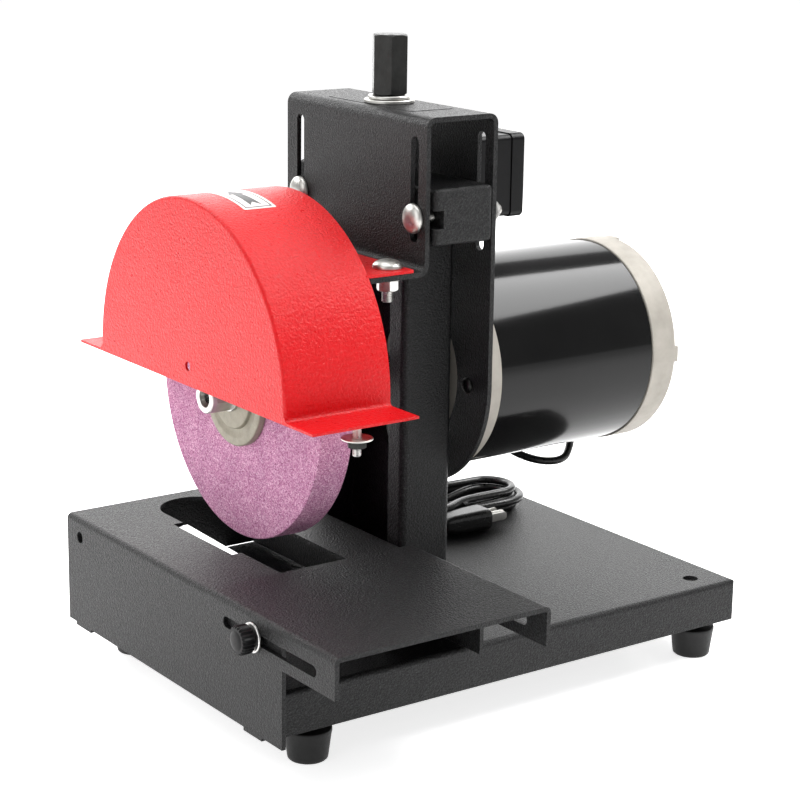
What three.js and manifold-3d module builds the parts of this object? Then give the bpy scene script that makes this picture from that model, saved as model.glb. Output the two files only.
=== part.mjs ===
// Single-wheel bench grinder for sharpening long flat blades.
// The wheel sits on the motor's own shaft, over a raised bed with a sliding work table.
// A hex-headed lift screw moves the whole grinding head up and down a fixed column.
//
// Millimetres. +X runs from the wheel to the motor, -Y is the front, +Z is up.
// While it is being drawn, x = 0 is the bed's left face, y = 0 the tray's front face
// and z = 0 the tray's lower edge. The last lines move the origin to the middle of the
// footprint, at the height of the floor.

import * as THREE from 'three';
import { mergeVertices } from 'three/addons/utils/BufferGeometryUtils.js';
import Module from 'manifold-3d';

const wasm = await Module();
wasm.setup();

// ---- driving dimensions -------------------------------------------------------------

const GAP = 0.3;              // clearance between pieces that rest on each other
const SHEET = 3;              // tray and bed sheet
const PLATE = 3.5;            // column and head sheet

const TRAY = { width: 405, depth: 271, height: 30.5, bend: 4, hole: 378 };
const BED = { width: 158, top: 79.5, front: -16, bend: 4 };
const TAB = 11;               // half the length of the tabs that the feet are screwed to
const OUTLET = { corners: [[40, 22], [143.3, 22], [97.9, 54], [71, 54]], reach: 52 };
const SLOT = { x: 84.5, halfWidth: 26.5, front: 46, back: 258 };
const TABLE = { front: -80, back: 68, sheet: 3.2, drop: 27, slotFront: -60, slotBack: 48 };
const KNOB = { y: 12, z: 67.5, screw: 3, radius: 9.6, length: 11.5 };
const FOOT = { height: 28, shoulder: 6, top: 16, bottom: 13, left: 43, right: 382, front: 20 };

const AXIS = { y: 150, z: 185.5 };                 // wheel and motor axis
const WHEEL = { radius: 101.6, x: 71, width: 25.4, bore: 25.4 / 2 };
const SHAFT = 9;                                    // shaft radius in the wheel
const SPINDLE_NUT = { corner: 11, length: 20, thread: 6, recess: 3 };
const COLUMN = { x0: 165, x1: 207, y0: 88, y1: 208, lip: 17 };
const HEAD = { x0: 160.5, x1: 219.5, y0: 60, y1: 228, top: 376.9, flange: 271.5, flangeX: 117, bend: 7, ledgeBend: 8 };
const PLATE_ARC = { y: 144, z: 187, radius: 84 };   // rounded lower end of the motor plate
const BAR = { x0: 167, x1: 215.4, y0: 58, y1: 224, z0: 291, z1: 329.5 };
const GUIDE = { z: 309, ys: [73, 211], slotLow: 293, rightSlotLow: 282, slotHigh: 363.5, radius: 4 };
const HEX = { x: 189, y: 143, radius: 13.2, height: 41, screw: 6 };
const GUARD = { x0: 33.5, x1: 115, radius: 121.6, y: 155, z: 200.5, edge: 194.3, lip: 32, skin: 1.8 };
const GUARD_BOLTS = { x: 141, ys: [75, 205] };
const STUD = { x: 73.5, y: 11, length: 20.5 };          // welded under the guard's front lip
const MOTOR = { radius: 75.5, front: 240, back: 380.5, end: 406.5, skin: 3, pilot: 55, screws: 68 };
const BOX = { x0: 219.8, x1: 263.5, y0: 86, y1: 148, z0: 300.5, z1: 357, seam: 252 };
const LEAD = { radius: 3.2 };
const HANK = { x0: 263.1, x1: 361, y: 241, outer: 29.2, inner: 16, height: 19.6 };
const GLAND = { y: 194, z: 58 };
const PLUG = { x: 285, y: 199, z: 30.8, length: 40, width: 23, height: 17, relief: 16 };

// ---- finishes -----------------------------------------------------------------------

function finish(color, roughness, metalness) {
  return new THREE.MeshStandardMaterial({ color, roughness, metalness });
}

const FINISH = {
  blackPaint: finish(0x1c1d1f, 0.45, 0.1),
  redPaint: finish(0xd81822, 0.5, 0.0),
  abrasive: finish(0xc48aae, 0.95, 0.0),
  olive: finish(0x8d8c7c, 0.45, 0.8),
  zinc: finish(0xc9c8c4, 0.3, 0.95),
  steel: finish(0x9a9a98, 0.3, 0.95),
  blackOxide: finish(0x222324, 0.4, 0.6),
  glossBlack: finish(0x08090a, 0.12, 0.2),
  castAlloy: finish(0xbdb9b1, 0.6, 0.6),
  copper: finish(0xb06a3a, 0.4, 0.9),
  plastic: finish(0x151617, 0.5, 0.0),
  rubber: finish(0x121212, 0.8, 0.0),
  cordPvc: finish(0x0c0c0d, 0.35, 0.0),
};

// ---- solids -------------------------------------------------------------------------

function solid(geometry) {
  const bare = geometry.index ? geometry.toNonIndexed() : geometry.clone();
  bare.deleteAttribute('normal');
  bare.deleteAttribute('uv');
  const merged = mergeVertices(bare, 1e-4);
  return new wasm.Manifold(new wasm.Mesh({
    numProp: 3,
    vertProperties: new Float32Array(merged.attributes.position.array),
    triVerts: new Uint32Array(merged.index.array),
  }));
}

function block(x0, x1, y0, y1, z0, z1) {
  const geometry = new THREE.BoxGeometry(x1 - x0, y1 - y0, z1 - z0);
  geometry.translate((x0 + x1) / 2, (y0 + y1) / 2, (z0 + z1) / 2);
  return solid(geometry);
}

// Turns a shape that was made around +Y so that it lies along the named axis.
function alongAxis(geometry, axis) {
  if (axis === 'x') geometry.rotateZ(-Math.PI / 2);
  if (axis === 'z') geometry.rotateX(Math.PI / 2);
  return geometry;
}

function rod(axis, radius, from, to, centre, sides = 16) {
  const geometry = new THREE.CylinderGeometry(radius, radius, to - from, sides);
  alongAxis(geometry, axis);
  const middle = (from + to) / 2;
  if (axis === 'x') geometry.translate(middle, centre[0], centre[1]);
  if (axis === 'y') geometry.translate(centre[0], middle, centre[1]);
  if (axis === 'z') geometry.translate(centre[0], centre[1], middle);
  return solid(geometry);
}

// A turned piece. The profile is a list of [radius, distance along the axis], in order.
function turned(axis, profile, centre, sides = 20) {
  const points = profile.map(([r, t]) => new THREE.Vector2(r, t));
  const onAxis = profile[0][0] === 0 && profile[profile.length - 1][0] === 0;
  if (!onAxis) points.push(points[0].clone());
  const geometry = new THREE.LatheGeometry(points, sides);
  if (axis === 'x') geometry.rotateZ(-Math.PI / 2);
  if (axis === 'z') geometry.rotateX(Math.PI / 2);
  if (axis === 'x') geometry.translate(0, centre[0], centre[1]);
  if (axis === 'z') geometry.translate(centre[0], centre[1], 0);
  let piece = solid(geometry);
  if (piece.volume() < 0) {
    const flipped = geometry.index.array.slice().reverse();
    geometry.setIndex([...flipped]);
    piece = solid(geometry);
  }
  return piece;
}

// Shapes are drawn in the plane across the axis: (y, z) for x, (x, z) for y, (x, y) for z.
function pulled(axis, shape, from, to, curveSegments = 4) {
  const depth = to - from;
  const geometry = new THREE.ExtrudeGeometry(shape, { depth, bevelEnabled: false, curveSegments });
  const turn = new THREE.Matrix4();
  if (axis === 'x') turn.makeBasis(axisVector(0, 1, 0), axisVector(0, 0, 1), axisVector(1, 0, 0));
  if (axis === 'y') turn.makeBasis(axisVector(1, 0, 0), axisVector(0, 0, 1), axisVector(0, -1, 0));
  geometry.applyMatrix4(turn);
  if (axis === 'x') geometry.translate(from, 0, 0);
  if (axis === 'y') geometry.translate(0, to, 0);
  if (axis === 'z') geometry.translate(0, 0, from);
  return solid(geometry);
}

function axisVector(x, y, z) {
  return new THREE.Vector3(x, y, z);
}

// A rectangle whose four corners take radii in the order: low-low, high-low, high-high, low-high.
function roundedRect(u0, u1, v0, v1, [a, b, c, d]) {
  const shape = new THREE.Shape();
  shape.moveTo(u0 + a, v0);
  shape.lineTo(u1 - b, v0);
  if (b) shape.absarc(u1 - b, v0 + b, b, -Math.PI / 2, 0);
  shape.lineTo(u1, v1 - c);
  if (c) shape.absarc(u1 - c, v1 - c, c, 0, Math.PI / 2);
  shape.lineTo(u0 + d, v1);
  if (d) shape.absarc(u0 + d, v1 - d, d, Math.PI / 2, Math.PI);
  shape.lineTo(u0, v0 + a);
  if (a) shape.absarc(u0 + a, v0 + a, a, Math.PI, 1.5 * Math.PI);
  return shape;
}

function obround(u0, u1, v0, v1) {
  const r = Math.min(u1 - u0, v1 - v0) / 2;
  return roundedRect(u0, u1, v0, v1, [r, r, r, r].map((x) => x - 1e-3));
}

function polygon(points) {
  const shape = new THREE.Shape();
  points.forEach(([u, v], i) => (i ? shape.lineTo(u, v) : shape.moveTo(u, v)));
  return shape;
}

// ---- assembly -----------------------------------------------------------------------

const grinder = new THREE.Group();
const cordNames = ['cord_lead', 'cord_hank', 'cord_tail', 'mains_plug'];

function add(name, piece, material) {
  const mesh = piece.getMesh();
  const geometry = new THREE.BufferGeometry();
  geometry.setAttribute('position', new THREE.BufferAttribute(mesh.vertProperties, 3));
  geometry.setIndex(new THREE.BufferAttribute(mesh.triVerts, 1));
  geometry.computeVertexNormals();
  const object = new THREE.Mesh(geometry, material);
  object.name = name;
  grinder.add(object);
}

// ---- base: tray, bed, feet ------------------------------------------------------------

function makeTray() {
  const { width, depth, height, bend } = TRAY;
  const low = -1;
  const rim = bend - SHEET;
  const outer = pulled('x', roundedRect(0, depth, 0, height, [0, 0, bend, bend]), SHEET + GAP, width)
    .intersect(pulled('y', roundedRect(0, width, 0, height, [0, 0, bend, 0]), 0, depth));
  const inner = pulled('x', roundedRect(SHEET, depth - SHEET, low, height - SHEET, [0, 0, rim, rim]), 0, width)
    .intersect(pulled('y', roundedRect(0, width - SHEET, low, height - SHEET, [0, 0, rim, 0]), 0, depth));
  const corners = pulled('z', roundedRect(0, width, 0, depth, [0, bend, bend, 0]), low - SHEET, height + 1);
  const innerCorners = pulled('z', roundedRect(0, width - SHEET, SHEET, depth - SHEET, [0, rim, rim, 0]), low, height);
  let tray = outer.intersect(corners).subtract(inner.intersect(innerCorners));
  for (const y of [FOOT.front, depth - FOOT.front]) {
    tray = tray.add(block(FOOT.right - 18, width - SHEET / 2, y - TAB, y + TAB, -SHEET, SHEET / 2));
    tray = tray.subtract(rod('z', 3.4, -SHEET - 1, SHEET, [FOOT.right, y]));
    tray = tray.subtract(rod('z', 5.5, height - SHEET - 1, height + 1, [TRAY.hole, y]));
  }
  tray = tray.subtract(dustOutlet(depth - OUTLET.reach, depth + 1));
  add('base_tray', tray, FINISH.blackPaint);
}

// Under the wheel the dust leaves through the bed's back wall and a notch in the tray's back edge.
function dustOutlet(from, to) {
  return pulled('y', polygon(OUTLET.corners), from, to);
}

function makeBed() {
  const { width, top, front, bend } = BED;
  const back = TRAY.depth;
  const standing = TRAY.height + GAP;
  const rim = bend - SHEET;
  const outer = pulled('y', roundedRect(0, width, 0, top, [0, 0, bend, bend]), front, back);
  const inner = pulled('y', roundedRect(SHEET, width - SHEET, -1, top - SHEET, [0, 0, rim, rim]), front - 1, back + 1);
  let bed = outer.subtract(inner).subtract(block(width / 2, width + 1, front - 1, back + 1, -1, standing));
  const backWall = block(SHEET - 1, width - SHEET + 1, back - SHEET, back, standing, top - 1);
  bed = bed.add(backWall.subtract(dustOutlet(back - SHEET - 1, back + 1)));
  for (const y of [FOOT.front, back - FOOT.front]) {
    bed = bed.add(block(SHEET / 4, FOOT.left + 18, y - TAB, y + TAB, -SHEET, SHEET / 2));
    bed = bed.subtract(rod('z', 3.4, -SHEET - 1, SHEET, [FOOT.left, y]));
  }
  bed = bed.subtract(wheelSlot(top - SHEET - 1, top + 1));
  bed = bed.subtract(rod('x', 4.2, -1, SHEET + 1, [252, 66]));
  bed = bed.subtract(rod('x', KNOB.screw + GAP, -1, SHEET + 1, [KNOB.y, KNOB.z]));
  bed = bed.subtract(rod('x', KNOB.screw + GAP, width - SHEET - 1, width + 1, [KNOB.y, KNOB.z]));
  add('bed_channel', bed, FINISH.blackPaint);
}

// The wheel's round-ended slot, with a straight sight window along its left side.
function wheelSlot(z0, z1) {
  const round = obround(SLOT.x - SLOT.halfWidth, SLOT.x + SLOT.halfWidth, SLOT.front, SLOT.back);
  const window = block(SLOT.x - SLOT.halfWidth - 7.5, SLOT.x - SLOT.halfWidth + 6, 126, 206, z0, z1);
  return pulled('z', round, z0, z1, 6).add(window);
}

function makeFeet() {
  const places = {
    front_left: [FOOT.left, FOOT.front],
    front_right: [FOOT.right, FOOT.front],
    back_left: [FOOT.left, TRAY.depth - FOOT.front],
    back_right: [FOOT.right, TRAY.depth - FOOT.front],
  };
  for (const [name, place] of Object.entries(places)) {
    add(`foot_${name}`, turned('z', [
      [3.4, -SHEET - GAP], [9, -SHEET - GAP], [9, -FOOT.shoulder], [FOOT.top, -FOOT.shoulder],
      [FOOT.top, -FOOT.shoulder - 3], [FOOT.bottom + 0.6, -FOOT.height + 1.5],
      [FOOT.bottom - 1, -FOOT.height], [7.5, -FOOT.height], [7.5, -12], [3.4, -12],
    ], place, 18), FINISH.rubber);
    add(`foot_screw_${name}`, turned('z', [
      [0, -16.3], [6, -16.3], [6.5, -14], [6.5, -12 - GAP], [3, -12 - GAP], [3, 8], [0, 8],
    ], place, 12), FINISH.zinc);
  }
}

// ---- sliding table ----------------------------------------------------------------------

const tableLeft = -TABLE.sheet - 0.4;
const tableRight = BED.width + TABLE.sheet + 0.4;

function makeTable() {
  const { front, back, sheet, drop } = TABLE;
  const under = BED.top + GAP;
  const top = under + sheet;
  const outer = pulled('y', roundedRect(tableLeft, tableRight, top - drop, top, [0, 0, 4, 4]), front, back);
  const inner = pulled('y', roundedRect(tableLeft + sheet, tableRight - sheet, 0, under, [0, 0, 1, 1]), front - 1, back + 1);
  const slot = obround(TABLE.slotFront, TABLE.slotBack, KNOB.z - 3.7, KNOB.z + 3.7);
  const table = outer.subtract(inner).subtract(pulled('x', slot, tableLeft - 1, tableRight + 1));
  add('slide_table', table, FINISH.blackPaint);
}

function makeTableKnob() {
  const face = tableLeft - GAP;
  const seat = [KNOB.y, KNOB.z];
  const washer = rod('x', 9.9, face - 1.5, face, seat, 28).subtract(rod('x', 3.3, face - 2, face + 1, seat));
  add('knob_washer', washer, FINISH.zinc);
  const rim = face - 1.5 - GAP;
  const ribs = 18;
  const outline = new THREE.Shape();
  for (let i = 0; i < 2 * ribs; i += 1) {
    const angle = (Math.PI * (i + 0.5)) / ribs;
    const r = i % 2 ? KNOB.radius : KNOB.radius - 0.9;
    const point = [r * Math.cos(angle) + KNOB.y, r * Math.sin(angle) + KNOB.z];
    if (i) outline.lineTo(...point);
    else outline.moveTo(...point);
  }
  const grip = pulled('x', outline, rim - KNOB.length + 1.5, rim - 2)
    .add(rod('x', KNOB.radius - 1.6, rim - KNOB.length, rim - 1, seat))
    .add(rod('x', 6.5, rim - 2, rim, seat));
  add('table_knob', grip.add(rod('x', KNOB.screw, rim - 2, SHEET + 9, seat)), FINISH.plastic);
  const outside = tableRight + GAP;
  add('table_guide_screw', turned('x', [
    [0, BED.width - SHEET - 8], [KNOB.screw, BED.width - SHEET - 8], [KNOB.screw, outside],
    [6.2, outside], [5.4, outside + 1.8], [3, outside + 2.4], [0, outside + 2.4],
  ], seat, 18), FINISH.zinc);
}

// ---- column and crossbar ------------------------------------------------------------------

function makeColumn() {
  const { x0, x1, y0, y1, lip } = COLUMN;
  const r = 5;
  const ri = r - PLATE;
  const outside = pulled('z', roundedRect(x0, x1, y0, y1, [r, r, r, r]), TRAY.height + GAP, BAR.z0 - GAP);
  const inside = pulled('z', roundedRect(x0 + PLATE, x1 - PLATE, y0 + PLATE, y1 - PLATE, [ri, ri, ri, ri]),
    TRAY.height - 1, BAR.z0 + 1);
  const mouth = block(x0 - 1, x0 + PLATE + 1, y0 + lip, y1 - lip, TRAY.height - 1, BAR.z0 + 1);
  const passage = pulled('x', obround(AXIS.y - 17, AXIS.y + 17, AXIS.z - 62, AXIS.z + 30), x1 - PLATE - 1, x1 + 1);
  const leadHole = rod('x', 6.3, x1 - PLATE - 1, x1 + 1, [GLAND.y, GLAND.z]);
  add('column', outside.subtract(inside).subtract(mouth).subtract(passage).subtract(leadHole), FINISH.blackPaint);
}

function makeCrossbar() {
  const { x0, x1, y0, y1, z0, z1 } = BAR;
  let bar = pulled('y', roundedRect(x0, x1, z0, z1, [3.5, 3.5, 3.5, 3.5]), y0, y1);
  bar = bar.subtract(rod('z', HEX.screw + GAP, z0 - 1, z1 + 1, [HEX.x, HEX.y]));
  for (const y of GUIDE.ys) {
    bar = bar.subtract(rod('x', GUIDE.radius + GAP, x0 - 1, x1 + 1, [y, GUIDE.z]));
  }
  bar = bar.subtract(block(x0 - 1, x0 + 7, y0 - 1, GUIDE.ys[0] + 6.5, GUIDE.z - 6, GUIDE.z + 6));
  add('crossbar', bar, FINISH.blackPaint);
}

// Long carriage bolts fixed in the crossbar: the head slides down and up along them.
function makeGuideBolts() {
  const left = HEAD.x0 - GAP;
  const right = HEAD.x1 + GAP;
  GUIDE.ys.forEach((y, i) => {
    const tag = i ? 'back' : 'front';
    add(`guide_bolt_${tag}`, turned('x', [
      [0, left - 5.4], [4.6, left - 5.0], [8.2, left - 3.2], [10.2, left - 0.9], [10.2, left],
      [GUIDE.radius, left], [GUIDE.radius, right + 12.5], [0, right + 12.5],
    ], [y, GUIDE.z]), FINISH.zinc);
    const bore = rod('x', GUIDE.radius + 0.2, right - 1, right + 20, [y, GUIDE.z]);
    const nut = rod('x', 9, right, right + 1.6, [y, GUIDE.z])
      .add(rod('x', 7.5, right + 1, right + 8.5, [y, GUIDE.z], 6));
    add(`guide_nut_${tag}`, nut.subtract(bore), FINISH.zinc);
  });
}

// ---- lift screw ----------------------------------------------------------------------------

function makeLiftScrew() {
  const seat = [HEX.x, HEX.y];
  const low = HEAD.top + GAP;
  const bore = rod('z', HEX.screw + GAP, low - 1, low + 9, seat);
  add('lift_washer_large', rod('z', 17.5, low, low + 2.4, seat, 32).subtract(bore), FINISH.zinc);
  const second = low + 2.4 + GAP;
  add('lift_washer_small', rod('z', 14.6, second, second + 2.4, seat, 32).subtract(bore), FINISH.zinc);
  const hex = second + 2.4 + GAP;
  const tip = hex + HEX.height;
  const coned = turned('z', [
    [0, hex], [HEX.radius - 1.2, hex], [HEX.radius + 0.4, hex + 1.4],
    [HEX.radius + 0.4, tip - 1.8], [HEX.radius - 1.6, tip], [0, tip],
  ], seat, 30);
  const head = rod('z', HEX.radius, hex, hex + HEX.height, seat, 6).intersect(coned);
  add('lift_screw', head.add(rod('z', HEX.screw, 252, hex + 1, seat)), FINISH.blackOxide);
}

// ---- head bracket ----------------------------------------------------------------------------

function makeHeadBracket() {
  const { x0, x1, y0, y1, top, flange, flangeX } = HEAD;
  const { bend, ledgeBend } = HEAD;
  const r = bend - PLATE;
  const outer = pulled('y', roundedRect(x0, x1, flange, top, [0, 0, bend, bend]), y0, y1);
  const inner = pulled('y', roundedRect(x0 + PLATE, x1 - PLATE, flange - 1, top - PLATE, [0, 0, r, r]),
    y0 - 1, y1 + 1);
  let head = outer.subtract(inner);
  head = head.subtract(block(x0 - 1, x0 + PLATE + 1, y0 - 1, y1 + 1, flange - 1, flange + ledgeBend + 3));
  const ledge = roundedRect(flangeX, x0 + PLATE, flange, flange + ledgeBend + 4, [0, ledgeBend, 0, 0]);
  const ledgeInside = roundedRect(flangeX - 1, x0, flange + PLATE, flange + ledgeBend + 6, [0, ledgeBend - PLATE, 0, 0]);
  head = head.add(pulled('y', ledge, y0, y1).subtract(pulled('y', ledgeInside, y0 - 1, y1 + 1)));
  const { y, z, radius } = PLATE_ARC;
  const plate = new THREE.Shape();
  plate.moveTo(y1, flange + 2);
  plate.lineTo(y0, flange + 2);
  plate.lineTo(y0, z);
  plate.absarc(y, z, radius, Math.PI, 2 * Math.PI);
  head = head.add(pulled('x', plate, x1 - PLATE, x1, 16));
  for (const gy of GUIDE.ys) {
    const slot = obround(gy - 4.4, gy + 4.4, GUIDE.slotLow, GUIDE.slotHigh);
    const rightSlot = obround(gy - 4.4, gy + 4.4, GUIDE.rightSlotLow, GUIDE.slotHigh);
    head = head.subtract(pulled('x', slot, x0 - 1, x0 + PLATE + 1)).subtract(pulled('x', rightSlot, x1 - PLATE - 1, x1 + 1));
  }
  head = head.subtract(rod('z', HEX.screw + GAP, top - PLATE - 1, top + 1, [HEX.x, HEX.y]));
  for (const gy of GUARD_BOLTS.ys) {
    head = head.subtract(rod('z', 4.3, flange - 1, flange + PLATE + 1, [GUARD_BOLTS.x, gy]));
  }
  head = head.subtract(rod('x', MOTOR.pilot + GAP, x1 - PLATE - 1, x1 + 1, [AXIS.y, AXIS.z], 40));
  for (const [my, mz] of motorScrewPlaces()) {
    head = head.subtract(rod('x', 3.4, x1 - PLATE - 1, x1 + 1, [my, mz]));
  }
  add('head_bracket', head, FINISH.blackPaint);
}

function motorScrewPlaces() {
  return [0, 90, 180, 270].map((degrees) => {
    const angle = (degrees * Math.PI) / 180;
    return [AXIS.y + MOTOR.screws * Math.cos(angle), AXIS.z + MOTOR.screws * Math.sin(angle)];
  });
}

// ---- guard ---------------------------------------------------------------------------------

function archShape(radius, low) {
  const shape = new THREE.Shape();
  shape.moveTo(GUARD.y + radius, low);
  shape.lineTo(GUARD.y + radius, GUARD.z);
  shape.absarc(GUARD.y, GUARD.z, radius, 0, Math.PI);
  shape.lineTo(GUARD.y - radius, low);
  return shape;
}

function makeGuard() {
  const { x0, x1, radius, edge, lip, skin, y } = GUARD;
  let guard = pulled('x', archShape(radius, edge), x0, x1, 20)
    .subtract(pulled('x', archShape(radius - skin, edge - 1), x0 + skin, x1 + 1, 20));
  guard = guard.add(block(x0, x1, y - radius - lip, y - radius + skin, edge, edge + skin));
  guard = guard.add(block(x0, x1, y + radius - skin, y + radius + lip, edge, edge + skin));
  const seat = HEAD.flange + PLATE + GAP;
  const ear = block(x1 - 30, HEAD.x0 - 9, HEAD.y0, HEAD.y1, seat, seat + skin + 0.4)
    .subtract(pulled('x', archShape(radius - skin / 2, edge), x0, x1, 20));
  guard = guard.add(ear);
  for (const gy of GUARD_BOLTS.ys) guard = guard.subtract(rod('z', 4.3, seat - 1, seat + 5, [GUARD_BOLTS.x, gy]));
  guard = guard.subtract(rod('x', 3.2, x0 - 1, x0 + skin + 1, [154, 208]));
  add('guard', guard, FINISH.redPaint);
  GUARD_BOLTS.ys.forEach((gy, i) => {
    const tag = i ? 'back' : 'front';
    const place = [GUARD_BOLTS.x, gy];
    const top = seat + skin + 0.4 + GAP;
    const under = HEAD.flange - GAP;
    add(`guard_bolt_${tag}`, turned('z', [
      [0, under - 17], [4, under - 17], [4, top], [10.3, top], [10.3, top + 0.9],
      [8.2, top + 3.4], [4.6, top + 5.1], [0, top + 5.6],
    ], place), FINISH.zinc);
    const bore = rod('z', 4.2, under - 20, under + 1, place);
    add(`guard_nut_${tag}`, rod('z', 9.4, under - 1.6, under, place).add(rod('z', 7.5, under - 9, under - 1, place, 6))
      .subtract(bore), FINISH.zinc);
  });
}

// A stud under the guard's front lip, for hanging a spark deflector.

function makeDeflectorStud() {
  const place = [STUD.x, STUD.y];
  const under = GUARD.edge - GAP;
  add('deflector_stud', turned('z', [
    [0, under - STUD.length], [3, under - STUD.length], [3, under - 1.2], [4.2, under], [0, under],
  ], place, 18), FINISH.zinc);
  const seat = under - 8;
  const bore = rod('z', 3.15, under - STUD.length, under - 1.5, place);
  add('deflector_washer', rod('z', 10.4, seat - 1.4, seat, place, 28).subtract(bore), FINISH.zinc);
  add('deflector_nut', rod('z', 6.6, seat - 6.6, seat - 1.4 - GAP, place, 6).subtract(bore), FINISH.zinc);
}

// ---- wheel and spindle ---------------------------------------------------------------------

const axisCentre = [AXIS.y, AXIS.z];

function makeWheel() {
  const { radius, x, width, bore } = WHEEL;
  add('grinding_wheel', turned('x', [
    [bore, x], [radius - 1.2, x], [radius, x + 1.2], [radius, x + width - 1.2],
    [radius - 1.2, x + width], [bore, x + width],
  ], axisCentre, 54), FINISH.abrasive);
  add('outer_flange', turned('x', [
    [SHAFT + 0.1, x - GAP], [36.5, x - GAP], [36.5, x - 4.8], [35.7, x - 5.6], [27, x - 5.6],
    [24, x - 7], [SHAFT + 0.1, x - 7],
  ], axisCentre, 28), FINISH.olive);
  add('inner_flange', turned('x', [
    [SHAFT + 0.1, x + width + GAP], [38, x + width + GAP], [38, x + width + 3],
    [16, x + width + 7], [SHAFT + 0.1, x + width + 7],
  ], axisCentre, 24), FINISH.olive);
  const face = x - 7 - GAP;
  const { corner, length, thread, recess } = SPINDLE_NUT;
  const coned = turned('x', [
    [thread + GAP, face - length], [corner - 1.6, face - length], [corner + 0.2, face - length + 1.4],
    [corner + 0.2, face], [thread + GAP, face],
  ], axisCentre, 36);
  add('spindle_nut', rod('x', corner, face - length, face, axisCentre, 6).intersect(coned), FINISH.zinc);
  const tip = face - length + recess;
  const shoulder = x - 6.4;
  add('motor_shaft', turned('x', [
    [0, tip], [thread - 1, tip], [thread, tip + 1], [thread, shoulder], [SHAFT, shoulder],
    [SHAFT, x + width + 7.4], [12, x + width + 7.4],
    [12, MOTOR.front - 26], [10, MOTOR.front - 26], [10, MOTOR.front + 22], [12, MOTOR.front + 22],
    [12, MOTOR.back - 22], [8.5, MOTOR.back - 22], [8.5, MOTOR.end - 8], [0, MOTOR.end - 8],
  ], axisCentre, 20), FINISH.steel);
}

// ---- motor -----------------------------------------------------------------------------------

function makeMotor() {
  const { radius, front, back, end, skin } = MOTOR;
  const inside = radius - skin;
  add('motor_shell', turned('x', [
    [inside, front], [radius, front], [radius, back], [inside, back],
  ], axisCentre, 48), FINISH.glossBlack);
  const face = HEAD.x1 + GAP;
  add('front_bell', turned('x', [
    [13.5, face - PLATE], [MOTOR.pilot, face - PLATE], [MOTOR.pilot, face], [72, face], [radius - 0.5, face + 4],
    [radius - 0.5, front - 12], [radius + 1, front - 9], [radius + 1, front - GAP], [inside - 4, front - GAP],
    [inside - 8, face + 8], [22, face + 5], [22, front - 4], [17.7, front - 4], [17.7, face + 6], [13.5, face + 6],
  ], axisCentre, 36), FINISH.castAlloy);
  add('rear_bell', turned('x', [
    [radius - 12, back + GAP], [radius + 1, back + GAP], [radius + 1, end - 6], [radius - 2, end - 1.5],
    [radius - 10, end], [0, end], [0, end - 5], [17.7, end - 5], [17.7, end - 22], [22, end - 22], [22, end - 5],
    [radius - 12, end - 5],
  ], axisCentre, 36), FINISH.castAlloy);
  add('front_bearing', turned('x', [
    [10.2, face + 6 + GAP], [17.4, face + 6 + GAP], [17.4, face + 18], [10.2, face + 18],
  ], axisCentre), FINISH.steel);
  add('rear_bearing', turned('x', [
    [8.7, end - 19], [17.4, end - 19], [17.4, end - 7], [8.7, end - 7],
  ], axisCentre), FINISH.steel);
  add('stator', turned('x', [
    [39, front + 30], [inside - GAP, front + 30], [inside - GAP, back - 30], [39, back - 30],
  ], axisCentre, 28), FINISH.steel);
  add('stator_windings', turned('x', [
    [43, front + 14], [62, front + 14], [62, front + 30 - GAP], [43, front + 30 - GAP],
  ], axisCentre, 24), FINISH.copper);
  add('rotor', turned('x', [
    [12.2, front + 28], [38.2, front + 28], [38.2, back - 28], [12.2, back - 28],
  ], axisCentre, 24), FINISH.steel);
  add('cooling_fan', turned('x', [
    [12.2, back - 27], [20, back - 27], [54, back - 20], [54, back - 8], [50, back - 8], [50, back - 18],
    [20, back - 23], [12.2, back - 23],
  ], axisCentre, 20).subtract(rod('x', 3, back - 30, back, [AXIS.y + 33, AXIS.z], 10)), FINISH.plastic);
  motorScrewPlaces().forEach((place, i) => {
    const inner = HEAD.x1 - PLATE - GAP;
    add(`motor_screw_${i + 1}`, turned('x', [
      [0, inner - 3.4], [4.4, inner - 3.2], [5.4, inner - 1.4], [5.4, inner], [3, inner], [3, face - 0.4], [0, face - 0.4],
    ], place, 16), FINISH.blackOxide);
  });
}

// ---- switch box ----------------------------------------------------------------------------

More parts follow.
